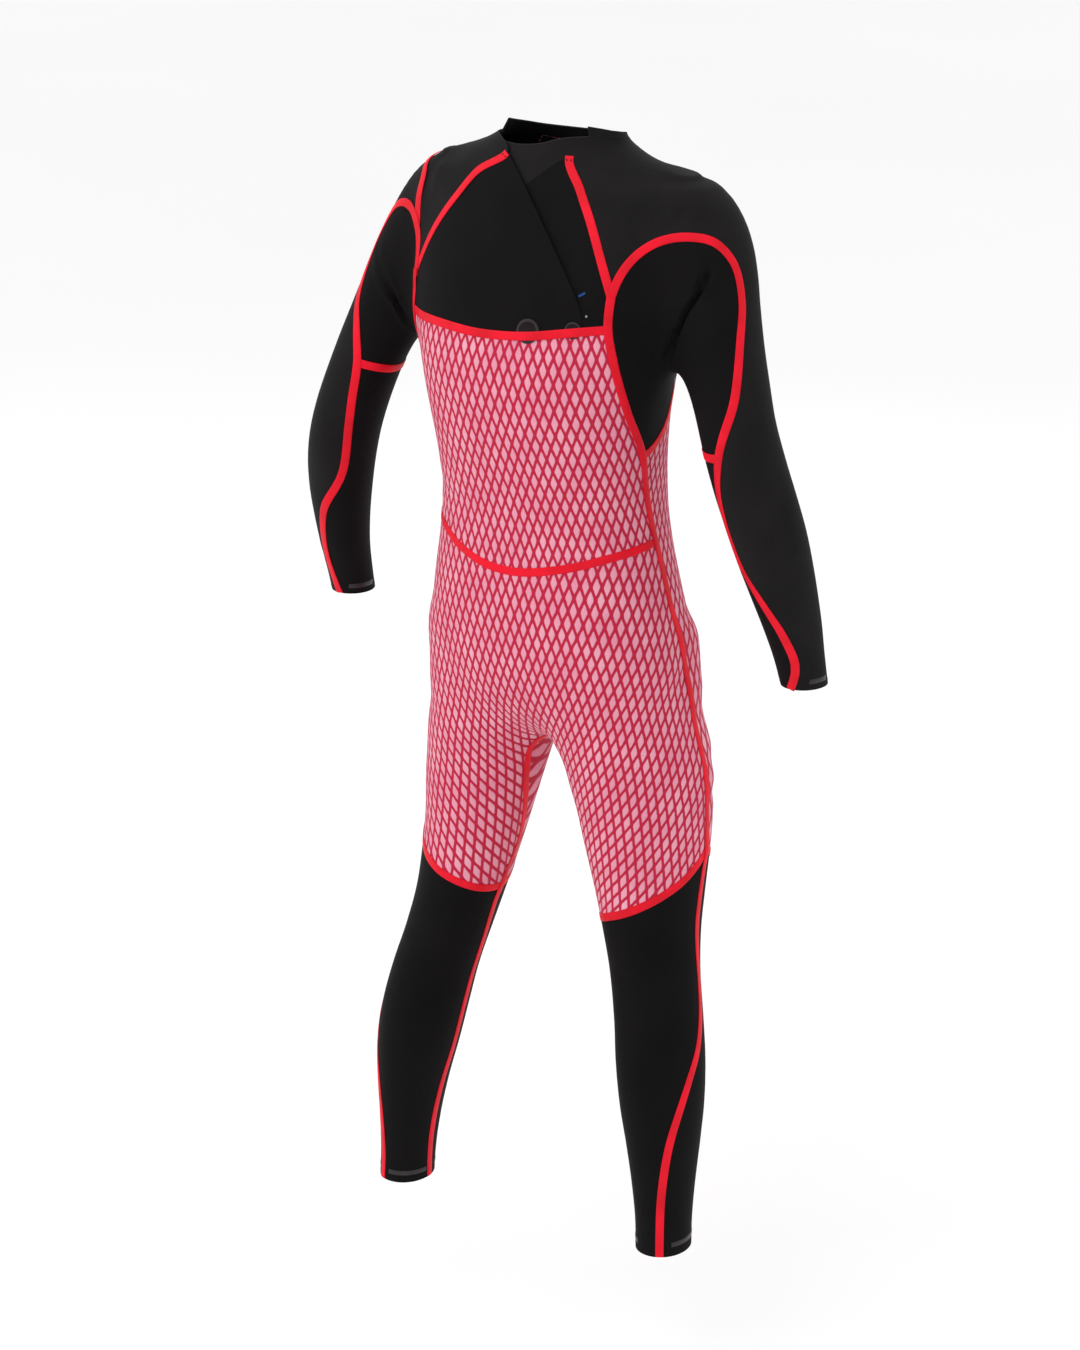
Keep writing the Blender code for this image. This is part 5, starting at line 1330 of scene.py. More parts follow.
@dataclass(frozen=True)
class Jersey:
    """Knitted face of the foam rubber."""

    name: str
    dark: Point
    light: Point
    sheen: float
    roughness: float

    def material(self) -> Material:
        """Make fine knit ribs, flecks of lighter yarn and a soft uneven bloom.

        Returns:
            The material.
        """
        tree = ShaderTree(self.name)
        place = tree.object_place()
        fleck = tree.noise(place, 1500.0, 3.0)
        cloud = tree.noise(place, 14.0, 2.0)
        share = tree.math("MULTIPLY_ADD", cloud, 0.45, tree.math("MULTIPLY", fleck, 0.75))
        tree.link(tree.ramp(share, ((0.38, self.dark), (0.78, self.light))), "Base Color")
        tree.link(tree.math("MULTIPLY_ADD", cloud, 0.10, self.roughness - 0.05), "Roughness")
        ribs = [tree.node("ShaderNodeTexWave", {"Vector": place, "Scale": scale, "Distortion": bend,
                                                "Detail": 1.0, "Detail Scale": 3.0},
                          wave_type="BANDS", bands_direction=way).outputs["Fac"]
                for scale, bend, way in ((210.0, 1.2, "X"), (300.0, 1.5, "Z"))]
        tree.bump(tree.math("ADD", tree.math("MULTIPLY", *ribs), fleck), 0.35, 0.00025)
        tree.link(0.07, "Specular IOR Level")
        tree.link(self.sheen, "Sheen Weight")
        tree.link(0.50, "Sheen Roughness")
        tree.link((0.75, 0.72, 0.75, 1.0), "Sheen Tint")
        return tree.material


@dataclass(frozen=True)
class Plush:
    """Brushed lining: a net of crimson lines over a heathered pale pile."""

    name: str = "plush_lozenges"
    across: float = 0.0120
    upright: float = 0.0300
    line: float = 0.00158
    rounding: float = 0.22
    pile: Point = (0.72, 0.28, 0.37)
    pale: Point = (0.86, 0.55, 0.63)
    shade: Point = (0.56, 0.15, 0.24)
    crimson: Point = (0.47, 0.016, 0.048)

    def material(self) -> Material:
        """Make lozenges on the cloth's own map, with a soft raised pile between the lines.

        Returns:
            The material.
        """
        tree = ShaderTree(self.name)
        uv = tree.node("ShaderNodeUVMap", uv_map="cloth").outputs["UV"]
        wobble = tree.node("ShaderNodeTexNoise", {"Vector": uv, "Scale": 190.0, "Detail": 1.0})
        shift = tree.node("ShaderNodeVectorMath", {0: wobble.outputs["Color"], 1: (0.5, 0.5, 0.5)},
                          operation="SUBTRACT").outputs[0]
        moved = tree.node("ShaderNodeVectorMath", {0: shift, 1: (0.0011, 0.0011, 0.0), 2: uv},
                          operation="MULTIPLY_ADD").outputs[0]
        parts = tree.node("ShaderNodeSeparateXYZ", {0: moved})
        u = tree.math("DIVIDE", parts.outputs[0], self.across)
        v = tree.math("DIVIDE", parts.outputs[1], self.upright)
        rise = tree.math("PINGPONG", tree.math("ADD", u, v), 0.5)
        fall = tree.math("PINGPONG", tree.math("SUBTRACT", u, v), 0.5)
        near = tree.math("SMOOTH_MIN", rise, fall, self.rounding)
        per_metre = (self.across**-2 + self.upright**-2)**0.5
        cover = tree.node("ShaderNodeMapRange",
                          {"Value": near, "From Min": (self.line - 0.00045) * per_metre,
                           "From Max": (self.line + 0.00065) * per_metre},
                          interpolation_type="SMOOTHSTEP").outputs[0]
        heather = tree.noise(uv, 1700.0, 3.0)
        cloud = tree.noise(uv, 22.0, 2.0)
        fibre = tree.math("MULTIPLY_ADD", cloud, 0.30, tree.math("MULTIPLY", heather, 0.85))
        pile = tree.ramp(fibre, ((0.36, self.shade), (0.56, self.pile), (0.80, self.pale)))
        fray = tree.math("SUBTRACT", cover, tree.math("MULTIPLY", tree.math("SUBTRACT", heather, 0.5), 0.5))
        crimson = tree.ramp(heather, ((0.30, tuple(0.75 * c for c in self.crimson)),
                                      (0.75, tuple(1.25 * c for c in self.crimson))))
        tree.link(tree.mix(fray, crimson, pile), "Base Color")
        tree.link(0.92, "Roughness")
        tree.link(0.05, "Specular IOR Level")
        tree.link(0.12, "Sheen Weight")
        tree.link(0.40, "Sheen Roughness")
        tree.link((1.0, 0.86, 0.90, 1.0), "Sheen Tint")
        dome = tree.math("MULTIPLY", cover, tree.math("POWER", near, 0.5))
        tree.bump(tree.math("MULTIPLY_ADD", heather, 0.30, dome), 0.75, 0.0011)
        return tree.material


@dataclass(frozen=True)
class TapeCloth:
    """Bright bonded seam tape."""

    name: str = "seam_tape"
    colour: Point = (0.76, 0.0055, 0.022)
    dull: Point = (0.61, 0.0045, 0.016)

    def material(self) -> Material:
        """Make a close weave along the tape, with slightly duller patches.

        Returns:
            The material.
        """
        tree = ShaderTree(self.name)
        uv = tree.node("ShaderNodeUVMap", uv_map="cloth").outputs["UV"]
        cloud = tree.noise(tree.object_place(), 30.0, 2.0)
        tree.link(tree.ramp(cloud, ((0.35, self.dull), (0.62, self.colour))), "Base Color")
        weave = [tree.node("ShaderNodeTexWave", {"Vector": uv, "Scale": 520.0, "Distortion": 0.6},
                           wave_type="BANDS", bands_direction=way).outputs["Fac"] for way in "XY"]
        tree.bump(tree.math("MULTIPLY", *weave), 0.30, 0.00018)
        tree.link(tree.math("MULTIPLY_ADD", cloud, 0.16, 0.42), "Roughness")
        tree.link(0.12, "Specular IOR Level")
        return tree.material


@dataclass(frozen=True)
class Moulded:
    """Rubber, plastic or cord that is moulded in one colour."""

    name: str
    colour: Point
    roughness: float
    grain: float = 900.0
    gloss: float = 0.5

    def material(self) -> Material:
        """Make a fine grain with small changes of gloss.

        Returns:
            The material.
        """
        tree = ShaderTree(self.name)
        tree.link(self.gloss, "Specular IOR Level")
        place = tree.object_place()
        grain, cloud = tree.noise(place, self.grain, 3.0), tree.noise(place, 90.0, 2.0)
        low = tuple(0.8 * c for c in self.colour)
        high = tuple(1.25 * c for c in self.colour)
        tree.link(tree.ramp(cloud, ((0.3, low), (0.7, high))), "Base Color")
        tree.link(tree.math("MULTIPLY_ADD", cloud, 0.18, self.roughness - 0.09), "Roughness")
        tree.bump(grain, 0.25, 0.00012)
        return tree.material


@dataclass
class Finishes:
    """Every material of the suit, made once."""

    charcoal: Material = field(default_factory=lambda: Jersey(
        "charcoal_jersey", (0.0044, 0.0039, 0.0042), (0.0140, 0.0125, 0.0130), 0.026, 0.78).material())
    black: Material = field(default_factory=lambda: Jersey(
        "black_jersey", (0.0018, 0.0015, 0.0017), (0.0058, 0.0049, 0.0054), 0.011, 0.74).material())
    plush: Material = field(default_factory=lambda: Plush().material())
    tape: Material = field(default_factory=lambda: TapeCloth().material())
    patch: Material = field(default_factory=lambda: Moulded(
        "patch_rubber", (0.0080, 0.0045, 0.0048), 0.40, gloss=0.12).material())
    patch_rim: Material = field(default_factory=lambda: Moulded(
        "patch_rim_rubber", (0.028, 0.019, 0.020), 0.42, gloss=0.15).material())
    gripper: Material = field(default_factory=lambda: Moulded(
        "hem_print_rubber", (0.024, 0.020, 0.022), 0.34, gloss=0.22).material())
    bead: Material = field(default_factory=lambda: Moulded(
        "bead_plastic", (0.30, 0.29, 0.28), 0.42, gloss=0.3).material())
    tag: Material = field(default_factory=lambda: Moulded(
        "tag_webbing", (0.016, 0.062, 0.20), 0.66, 1600.0, 0.08).material())
    thread: Material = field(default_factory=lambda: Moulded(
        "black_thread", (0.010, 0.009, 0.010), 0.55, 2200.0, 0.10).material())


# --------------------------------------------------------------- pieces ----
@dataclass
class Dresser:
    """Puts finished meshes in the scene, hides the solids that they stand for and logs their face counts.
    """

    finishes: Finishes

    def place(self, name: str, mesh: Mesh, materials: Sequence[Material],
              slot: Slot, node: Optional[str] = None) -> bpy.types.Object:
        """Add one piece.

        Args:
            name: Name of the piece.
            mesh: Its mesh, in the row frame.
            materials: Its materials, outer side first.
            slot: The record's slot for its finish; not used.
            node: The solid that it stands for, if any.

        Returns:
            The new object.
        """
        if not mesh.materials:
            for material in materials:
                mesh.materials.append(material)
        obj = bpy.data.objects.new(name, mesh)
        bpy.context.scene.collection.objects.link(obj)
        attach(obj, "root")
        if node:
            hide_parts(node)
        LOG.info("%s: %d faces", name, len(mesh.polygons))
        return obj


@dataclass
class Panels:
    """The cut and sewn panels of the suit."""

    shells: dict[str, list[Grid]]
    dresser: Dresser

    FLAT_CUTS = {
        "back_body": FlatCut((0.0, 0.156, 1.300), (0.0, 0.134, 1.030)),
        "seat": FlatCut((0.0, 0.134, 1.020), (0.0, 0.133, 0.930)),
        "front_body": FlatCut((0.0, -0.064, 1.320), (0.0, -0.064, 1.080)),
    }
    CHARCOAL = ("sleeve_right", "sleeve_left", "shoulder_left", "collar")
    LEAST_SHARE = 0.31
    MOST_SHARE = 0.999

    def dress(self, ground: Ground) -> None:
        """Make every panel.

        Args:
            ground: What is laid so far, to which the panels are added.
        """
        finishes = self.dresser.finishes
        for node, grids in self.shells.items():
            cut = self.FLAT_CUTS.get(node)
            mesh = ClothMesh(grids).build(node + "_cloth", map_points=cut)
            ground.add(mesh)
            if cut:
                pair, slot = (finishes.plush, finishes.black), Slot.PLUSH
            elif node in self.CHARCOAL:
                pair, slot = (finishes.charcoal, finishes.black), Slot.CHARCOAL
            else:
                pair, slot = (finishes.black, finishes.black), Slot.BLACK
            obj = self.dresser.place(node + "_cloth", mesh, pair, slot, node)
            self.declare(obj, grids)

    @staticmethod
    def size(grids: Sequence[Grid]) -> tuple[float, float, float]:
        """Measure the cloth in some grids, laid flat.

        Args:
            grids: The grids of one piece.

        Returns:
            Width, length and area.
        """
        area, width, length = 0.0, 0.0, 0.0
        for grid in grids:
            p = grid.outer
            cross = np.cross(p[1:, 1:] - p[:-1, :-1], p[1:, :-1] - p[:-1, 1:])
            area += float(np.linalg.norm(cross, axis=-1).sum() / 2)
            width += float(np.linalg.norm(np.diff(p, axis=1), axis=-1).sum(1).max())
            length = max(length, float(np.linalg.norm(np.diff(p, axis=0), axis=-1).sum(0).max()))
        return width, length, area

    def declare(self, obj: bpy.types.Object, grids: Sequence[Grid]) -> None:
        """State the size that a panel is cut to.

        Args:
            obj: The panel.
            grids: Its grids.
        """
        width, length, area = self.size(grids)
        share = area / (width * length)
        if share < self.LEAST_SHARE:
            width = area / (self.LEAST_SHARE * length)
        round(min(area, self.MOST_SHARE * round(width, 3) * round(length, 3)), 4)
        LOG.info("CUT %s %.3f x %.3f m, %.4f m2", obj.name, width, length, area)


@dataclass
class Tapes:
    """Bonded tapes over the seams."""

    form: Form
    seams: SeamPlan
    folds: PanelCutter
    dresser: Dresser
    half_width: float = 0.0050
    thickness: float = 0.0006
    clearance: float = 0.00030

    PROFILE = ((-1.0, 0.35), (-0.94, 0.90), (-0.50, 1.0), (0.0, 1.0), (0.50, 1.0), (0.94, 0.90),
               (1.0, 0.35))
    STEP = 0.0055                 # length of one step along a tape
    RUN_ON = 0.0085               # how far an end lies under the side tape
    SMOOTHING = (0.1, 0.25, 0.3, 0.25, 0.1)
    # Name, sides, stretches, cut off at the start and at the end.  Each lies over
    # the ones before it, so the long side tapes come last and cover all the ends.
    TABLE = (
        ("tape_raglan_back", "sides", "raglan_back", 0.0010, 0.0),
        ("tape_raglan_front", "sides", "raglan_front", 0.0010, 0.0),
        ("tape_yoke", "whole", "yoke_left yoke_right", 0.0, 0.0),
        ("tape_waist", "whole", "waist_left waist_right", 0.0, 0.0),
        ("tape_elbow", "sides", "elbow", 0.0, 0.0),
        ("tape_thigh_back", "sides", "thigh_back", 0.0, 0.0),
        ("tape_thigh_front", "sides", "thigh_front", 0.0, 0.0),
        ("tape_shoulder", "left", "shoulder_seam", 0.0, 0.0),
        ("tape_arm_back", "sides", "arc_high arc_back fore_back", 0.0, 0.0006),
        ("tape_arm_front", "sides", "-front_side arc_fore arc_front fore_front", 0.0, 0.0006),
        ("tape_inner_leg", "whole", "-leg_in@right -inseam@right inseam@left leg_in@left",
         0.0006, 0.0006),
        ("tape_side", "sides", "corner side_high side_low side_hip leg_out", 0.0, 0.0006),
    )
    # tapes that run on under the side tape, at their start or at their end
    RUNS_ON = {"tape_arm_back": "start", "tape_raglan_back": "end"}

    def centre(self, name: str, words: str, side: Optional[str], start: float,
               end: float) -> Array:
        """The middle line of one tape.

        Args:
            name: Name of the tape.
            words: The stretches of seam that it covers.
            side: Which side of the suit, or None.
            start: Length cut off at the start.
            end: Length cut off at the end.

        Returns:
            Points along it in even steps.
        """
        line = self.seams.join(words, side)
        corner = self.seams.stretch("corner", side) if name in self.RUNS_ON else None
        if self.RUNS_ON.get(name) == "start":
            start = along(corner)[-1] - self.RUN_ON
            line = np.concatenate([corner[::-1], line[1:]])
        elif self.RUNS_ON.get(name) == "end":
            end = along(corner)[-1] - self.RUN_ON
            line = np.concatenate([line, corner[1:]])
        distance = along(line)
        count = max(4, round(distance[-1] / self.STEP))
        return read_line(line, distance, np.linspace(start, distance[-1] - end, count + 1))

    def settle(self, points: Array, normals: Array, ground: Ground) -> Array:
        """Find a smooth height for a tape's under side, clear of everything under it.

        Args:
            points: The tape's points on the form, a row for each step along it.
            normals: Their directions outwards.
            ground: What is laid so far.

        Returns:
            One height for each point.
        """
        need = ground.height(points, normals) + self.clearance
        low = self.folds.folded(points) + self.clearance
        need = np.maximum(need, low)
        wide = np.pad(need, ((2, 2), (1, 1)), mode="edge")
        rows, columns = need.shape
        grown = np.max([wide[r:r + rows, c:c + columns] for r in range(1, 4) for c in range(3)], axis=0)
        wide = np.pad(grown, ((2, 2), (0, 0)), mode="edge")
        soft = sum(w * wide[r:r + rows] for r, w in enumerate(self.SMOOTHING))
        return np.maximum(soft, need)

    def strip(self, name: str, line: Array, ground: Ground) -> Mesh:
        """Make one tape as a closed strip with thin edges.

        Args:
            name: Name of the mesh.
            line: The tape's middle line.
            ground: What is laid so far.

        Returns:
            The mesh.
        """
        ahead = unit(np.gradient(line, axis=0))
        lateral = unit(np.cross(self.form.outward(line), ahead))
        points = np.stack([self.form.lay(line + lateral * self.half_width * share)
                           for share, _ in self.PROFILE], axis=1)
        normals = self.form.outward(points)
        under = self.settle(points, normals, ground)
        thick = np.array([height for _, height in self.PROFILE]) * self.thickness
        inner = points + normals * under[..., None]
        outer = inner + normals * thick[None, :, None]
        place = np.stack(np.broadcast_arrays(along(line)[:, None],
                                             np.array([s for s, _ in self.PROFILE])[None]
                                             * self.half_width), axis=-1)
        return ClothMesh([Grid(outer, inner, normals)], bulge=0.0).build(name, plain=[place])

    def dress(self, ground: Ground) -> None:
        """Lay every tape, each over the ones before it.

        Args:
            ground: What is laid so far, to which the tapes are added.
        """
        for name, where, words, start, end in self.TABLE:
            for side in SIDES[where]:
                node = f"{name}_{side}" if side else name
                line = self.centre(name, words, side, start, end)
                mesh = self.strip(node + "_cloth", line, ground)
                ground.add(mesh)
                finishes = self.dresser.finishes
                obj = self.dresser.place(node + "_cloth", mesh, (finishes.tape, finishes.black),
                                         Slot.TAPE, node)
                length = round(float(along(line)[-1]), 3)
                LOG.info("CUT %s %.3f x %.3f m", obj.name, 2 * self.half_width, length)


@dataclass
class Closure:
    """The round patches, the bead and the tag at the foot of the slit."""

    form: Form
    dresser: Dresser
    patches: tuple = (("patch_wide", (-0.036, 0.153, 1.316), 0.0140),
                      ("patch_small", (-0.088, 0.141, 1.321), 0.0095))
    # share of the radius, height of the top side as a share of the scale
    profile: tuple = ((0.0, 0.70), (0.35, 0.72), (0.68, 0.78), (0.78, 1.05), (0.86, 1.25),
                      (0.94, 1.15), (1.0, 0.45))
    scale: float = 0.0008
    clearance: float = 0.0003

    SPOKES = 48
    RIM_FROM = 2                  # the ring of the profile where the raised rim begins
    BEAD_SHARE = 0.85             # of its solid that the bead takes up
    BEAD_GROOVE = (0.10, 0.16)    # depth and half width, as shares of the bead
    TAG_SHARE = (0.84, 0.85)      # of its solid that the webbing takes up, along and across
    TAG_WAVE = (0.55, 0.30, 0.25, 7)    # middle height, fall to the sides, ripple and its turns
    TAG_THICKNESS = 0.9

    def disc(self, name: str, centre: Point, radius: float, ground: Ground) -> Mesh:
        """Make a moulded disc with a raised rim, lying on the panels.

        Args:
            name: Name of the mesh.
            centre: Its middle, above the floor.
            radius: Its radius.
            ground: What is laid so far.

        Returns:
            The mesh.
        """
        middle = self.form.lay([centre])[0]
        normal = self.form.outward(middle[None])[0]
        across = unit(np.cross(normal, (0.0, 0.0, 1.0)))
        up = np.cross(across, normal)
        spokes = np.radians(np.arange(self.SPOKES) * (360 / self.SPOKES))
        ring_points = [middle[None]]
        for share, _ in self.profile[1:]:
            ring_points.append(middle + radius * share * (np.cos(spokes)[:, None] * across
                                                          + np.sin(spokes)[:, None] * up))
        points = self.form.lay(np.concatenate(ring_points))
        normals = self.form.outward(points)
        level = max(0.0, float(ground.height(points, normals).max())) + self.clearance
        lows = points + normals * level
        heights = np.concatenate([[self.profile[0][1]]]
                                 + [[h] * self.SPOKES for _, h in self.profile[1:]]) * self.scale
        tops = lows + normals * heights[:, None]
        count = len(points)
        faces, rim = [], []
        for i in range(self.SPOKES):
            j = (i + 1) % self.SPOKES
            faces.append([0, 1 + i, 1 + j])
            rim.append(False)
            for ring in range(len(self.profile) - 2):
                a, b = 1 + ring * self.SPOKES, 1 + (ring + 1) * self.SPOKES
                faces.append([a + i, b + i, b + j, a + j])
                rim.append(ring >= self.RIM_FROM)
        turned = [[v + count for v in reversed(face)] for face in faces]
        last = 1 + (len(self.profile) - 2) * self.SPOKES
        nexts = [(i + 1) % self.SPOKES for i in range(self.SPOKES)]
        sides = [[last + j, last + i, count + last + i, count + last + j] for i, j in enumerate(nexts)]
        mesh = bpy.data.meshes.new(name)
        mesh.from_pydata((np.concatenate([tops, lows]) - ORIGIN).tolist(), [], faces + turned + sides)
        bm = bmesh.new()
        bm.from_mesh(mesh)
        for face, on_rim in zip(bm.faces, rim + [False] * len(turned) + [True] * len(sides)):
            face.material_index = int(on_rim)
            face.smooth = True
        bmesh.ops.recalc_face_normals(bm, faces=bm.faces)
        bm.to_mesh(mesh)
        bm.free()
        mesh.set_sharp_from_angle(angle=SHARP_SMALL)
        return mesh

    def dress_patches(self, ground: Ground) -> None:
        """Lay the two patches.

        Args:
            ground: What is laid so far, to which the patches are added.
        """
        finishes = self.dresser.finishes
        for name, centre, radius in self.patches:
            mesh = self.disc(name + "_disc", centre, radius, ground)
            ground.add(mesh)
            self.dresser.place(name + "_disc", mesh, (finishes.patch, finishes.patch_rim), Slot.PATCH,
                               name)

    def dress_bead(self) -> None:
        """A small drum-shaped bead in the place of its solid."""
        low, high = (np.array(corner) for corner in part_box("closure_bead"))
        middle, half = (low + high) / 2, (high - low) / 2
        bm = bmesh.new()
        bmesh.ops.create_uvsphere(bm, u_segments=24, v_segments=14, radius=1.0)
        depth, wide = self.BEAD_GROOVE
        for vert in bm.verts:
            waist = 1.0 - depth * np.exp(-(vert.co.z / wide)**2)
            vert.co = Vector((middle[0] + half[0] * self.BEAD_SHARE * vert.co.x * waist,
                              middle[1] + half[1] * self.BEAD_SHARE * vert.co.y * waist,
                              middle[2] + half[2] * self.BEAD_SHARE * vert.co.z))
        self.add_small("closure_bead", bm, self.dresser.finishes.bead, Slot.BEAD)

    def dress_tag(self) -> None:
        """A doubled end of blue webbing in the place of its solid."""
        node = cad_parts["closure_tag"]
        points = np.array([vert.co[:] for vert in node.data.vertices])
        middle = points.mean(0)
        ways = np.linalg.svd(np.unique(points.round(6), axis=0) - middle)[2]
        half = np.abs((points - middle) @ ways.T).max(0)
        bm = bmesh.new()
        bmesh.ops.create_grid(bm, x_segments=16, y_segments=6, size=1.0)
        high, fall, ripple, turns = self.TAG_WAVE
        for vert in bm.verts:
            u, v = vert.co.x, vert.co.y
            rise = half[2] * (high - fall * v * v + ripple * np.cos(turns * u))
            spot = (middle + ways[0] * half[0] * self.TAG_SHARE[0] * u
                    + ways[1] * half[1] * self.TAG_SHARE[1] * v + ways[2] * rise)
            vert.co = Vector(spot)
        made = bmesh.ops.extrude_face_region(bm, geom=bm.faces[:], use_keep_orig=True)["geom"]
        for item in made:
            if isinstance(item, bmesh.types.BMVert):
                item.co -= Vector(ways[2] * half[2] * self.TAG_THICKNESS)
        self.add_small("closure_tag", bm, self.dresser.finishes.tag, Slot.TAG)

    def add_small(self, node: str, bm: bmesh.types.BMesh, material: Material,
                  slot: Slot) -> None:
        """Finish a small piece and put it in the scene.

        Args:
            node: The solid that it stands for.
            bm: Its shape, which is freed.
            material: Its material.
            slot: The record's slot.
        """
        bmesh.ops.recalc_face_normals(bm, faces=bm.faces)
        mesh = bpy.data.meshes.new(node + "_piece")
        bm.to_mesh(mesh)
        bm.free()
        mesh.shade_smooth()
        mesh.set_sharp_from_angle(angle=SHARP_SMALL)
        self.dresser.place(node + "_piece", mesh, (material,), slot, node)


@dataclass
class HemStrips:
    """Strips of glossy rubber printed just above the wrist and ankle hems."""

    form: Form
    seams: SeamPlan
    folds: PanelCutter
    dresser: Dresser
    height: float = 0.0060
    thickness: float = 0.0003
    clearance: float = 0.0002
    columns: int = 25
    # name, stretch, side, from and to as shares of the stretch, height above the hem
    table: tuple = (
        ("ankle_print_back_right", "ankle_back", "right", 0.46, 0.93, 0.0130),
        ("ankle_print_front_right", "ankle_front", "right", 0.10, 0.46, 0.0150),
        ("ankle_print_inner_right", "ankle_front", "right", 0.54, 0.92, 0.0130),
        ("ankle_print_back_left", "ankle_back", "left", 0.16, 0.90, 0.0130),
        ("ankle_print_front_left", "ankle_front", "left", 0.10, 0.46, 0.0130),
        ("ankle_print_inner_left", "ankle_front", "left", 0.54, 0.92, 0.0130),
        ("wrist_print_out_right", "wrist_out", "right", 0.22, 0.50, 0.0110),
        ("wrist_print_in_right", "wrist_in", "right", 0.30, 0.72, 0.0110),
        ("wrist_print_out_left", "wrist_out", "left", 0.30, 0.72, 0.0110),
        ("wrist_print_in_left", "wrist_in", "left", 0.16, 0.60, 0.0110),
    )

    PROFILE = (0.2, 0.9, 1.0, 1.0, 0.9, 0.2)    # thickness from edge to edge
    THIN_END = 0.2                # thickness at the two ends
    FADE = (-0.01, 0.03)          # shares of the stretch over which an end gets thinner

    def dress(self) -> None:
        """Lay every strip."""
        for name, stretch, side, start, end, above in self.table:
            line = self.seams.stretch(stretch, side)
            wanted = np.linspace(start, end, self.columns)
            row = read_line(line, shares(line), wanted)
            levels = np.linspace(-0.5, 0.5, len(self.PROFILE)) * self.height + above
            points = self.form.lay(row[:, None] + np.array([0, 0, 1.0]) * levels[None, :, None],
                                   level=True)
            normals = self.form.outward(points)
            base = self.folds.folded(points) + self.clearance
            ends = ease(np.minimum(wanted - start, end - wanted), *self.FADE)[:, None]
            ends = self.THIN_END + (1 - self.THIN_END) * ends
            inner = points + normals * base[..., None]
            outer = inner + normals * (self.thickness * np.array([self.PROFILE]) * ends)[..., None]
            mesh = ClothMesh([Grid(outer, inner, normals)], bulge=0.0).build(name)
            gripper = self.dresser.finishes.gripper
            self.dresser.place(name, mesh, (gripper, gripper), Slot.PATCH)


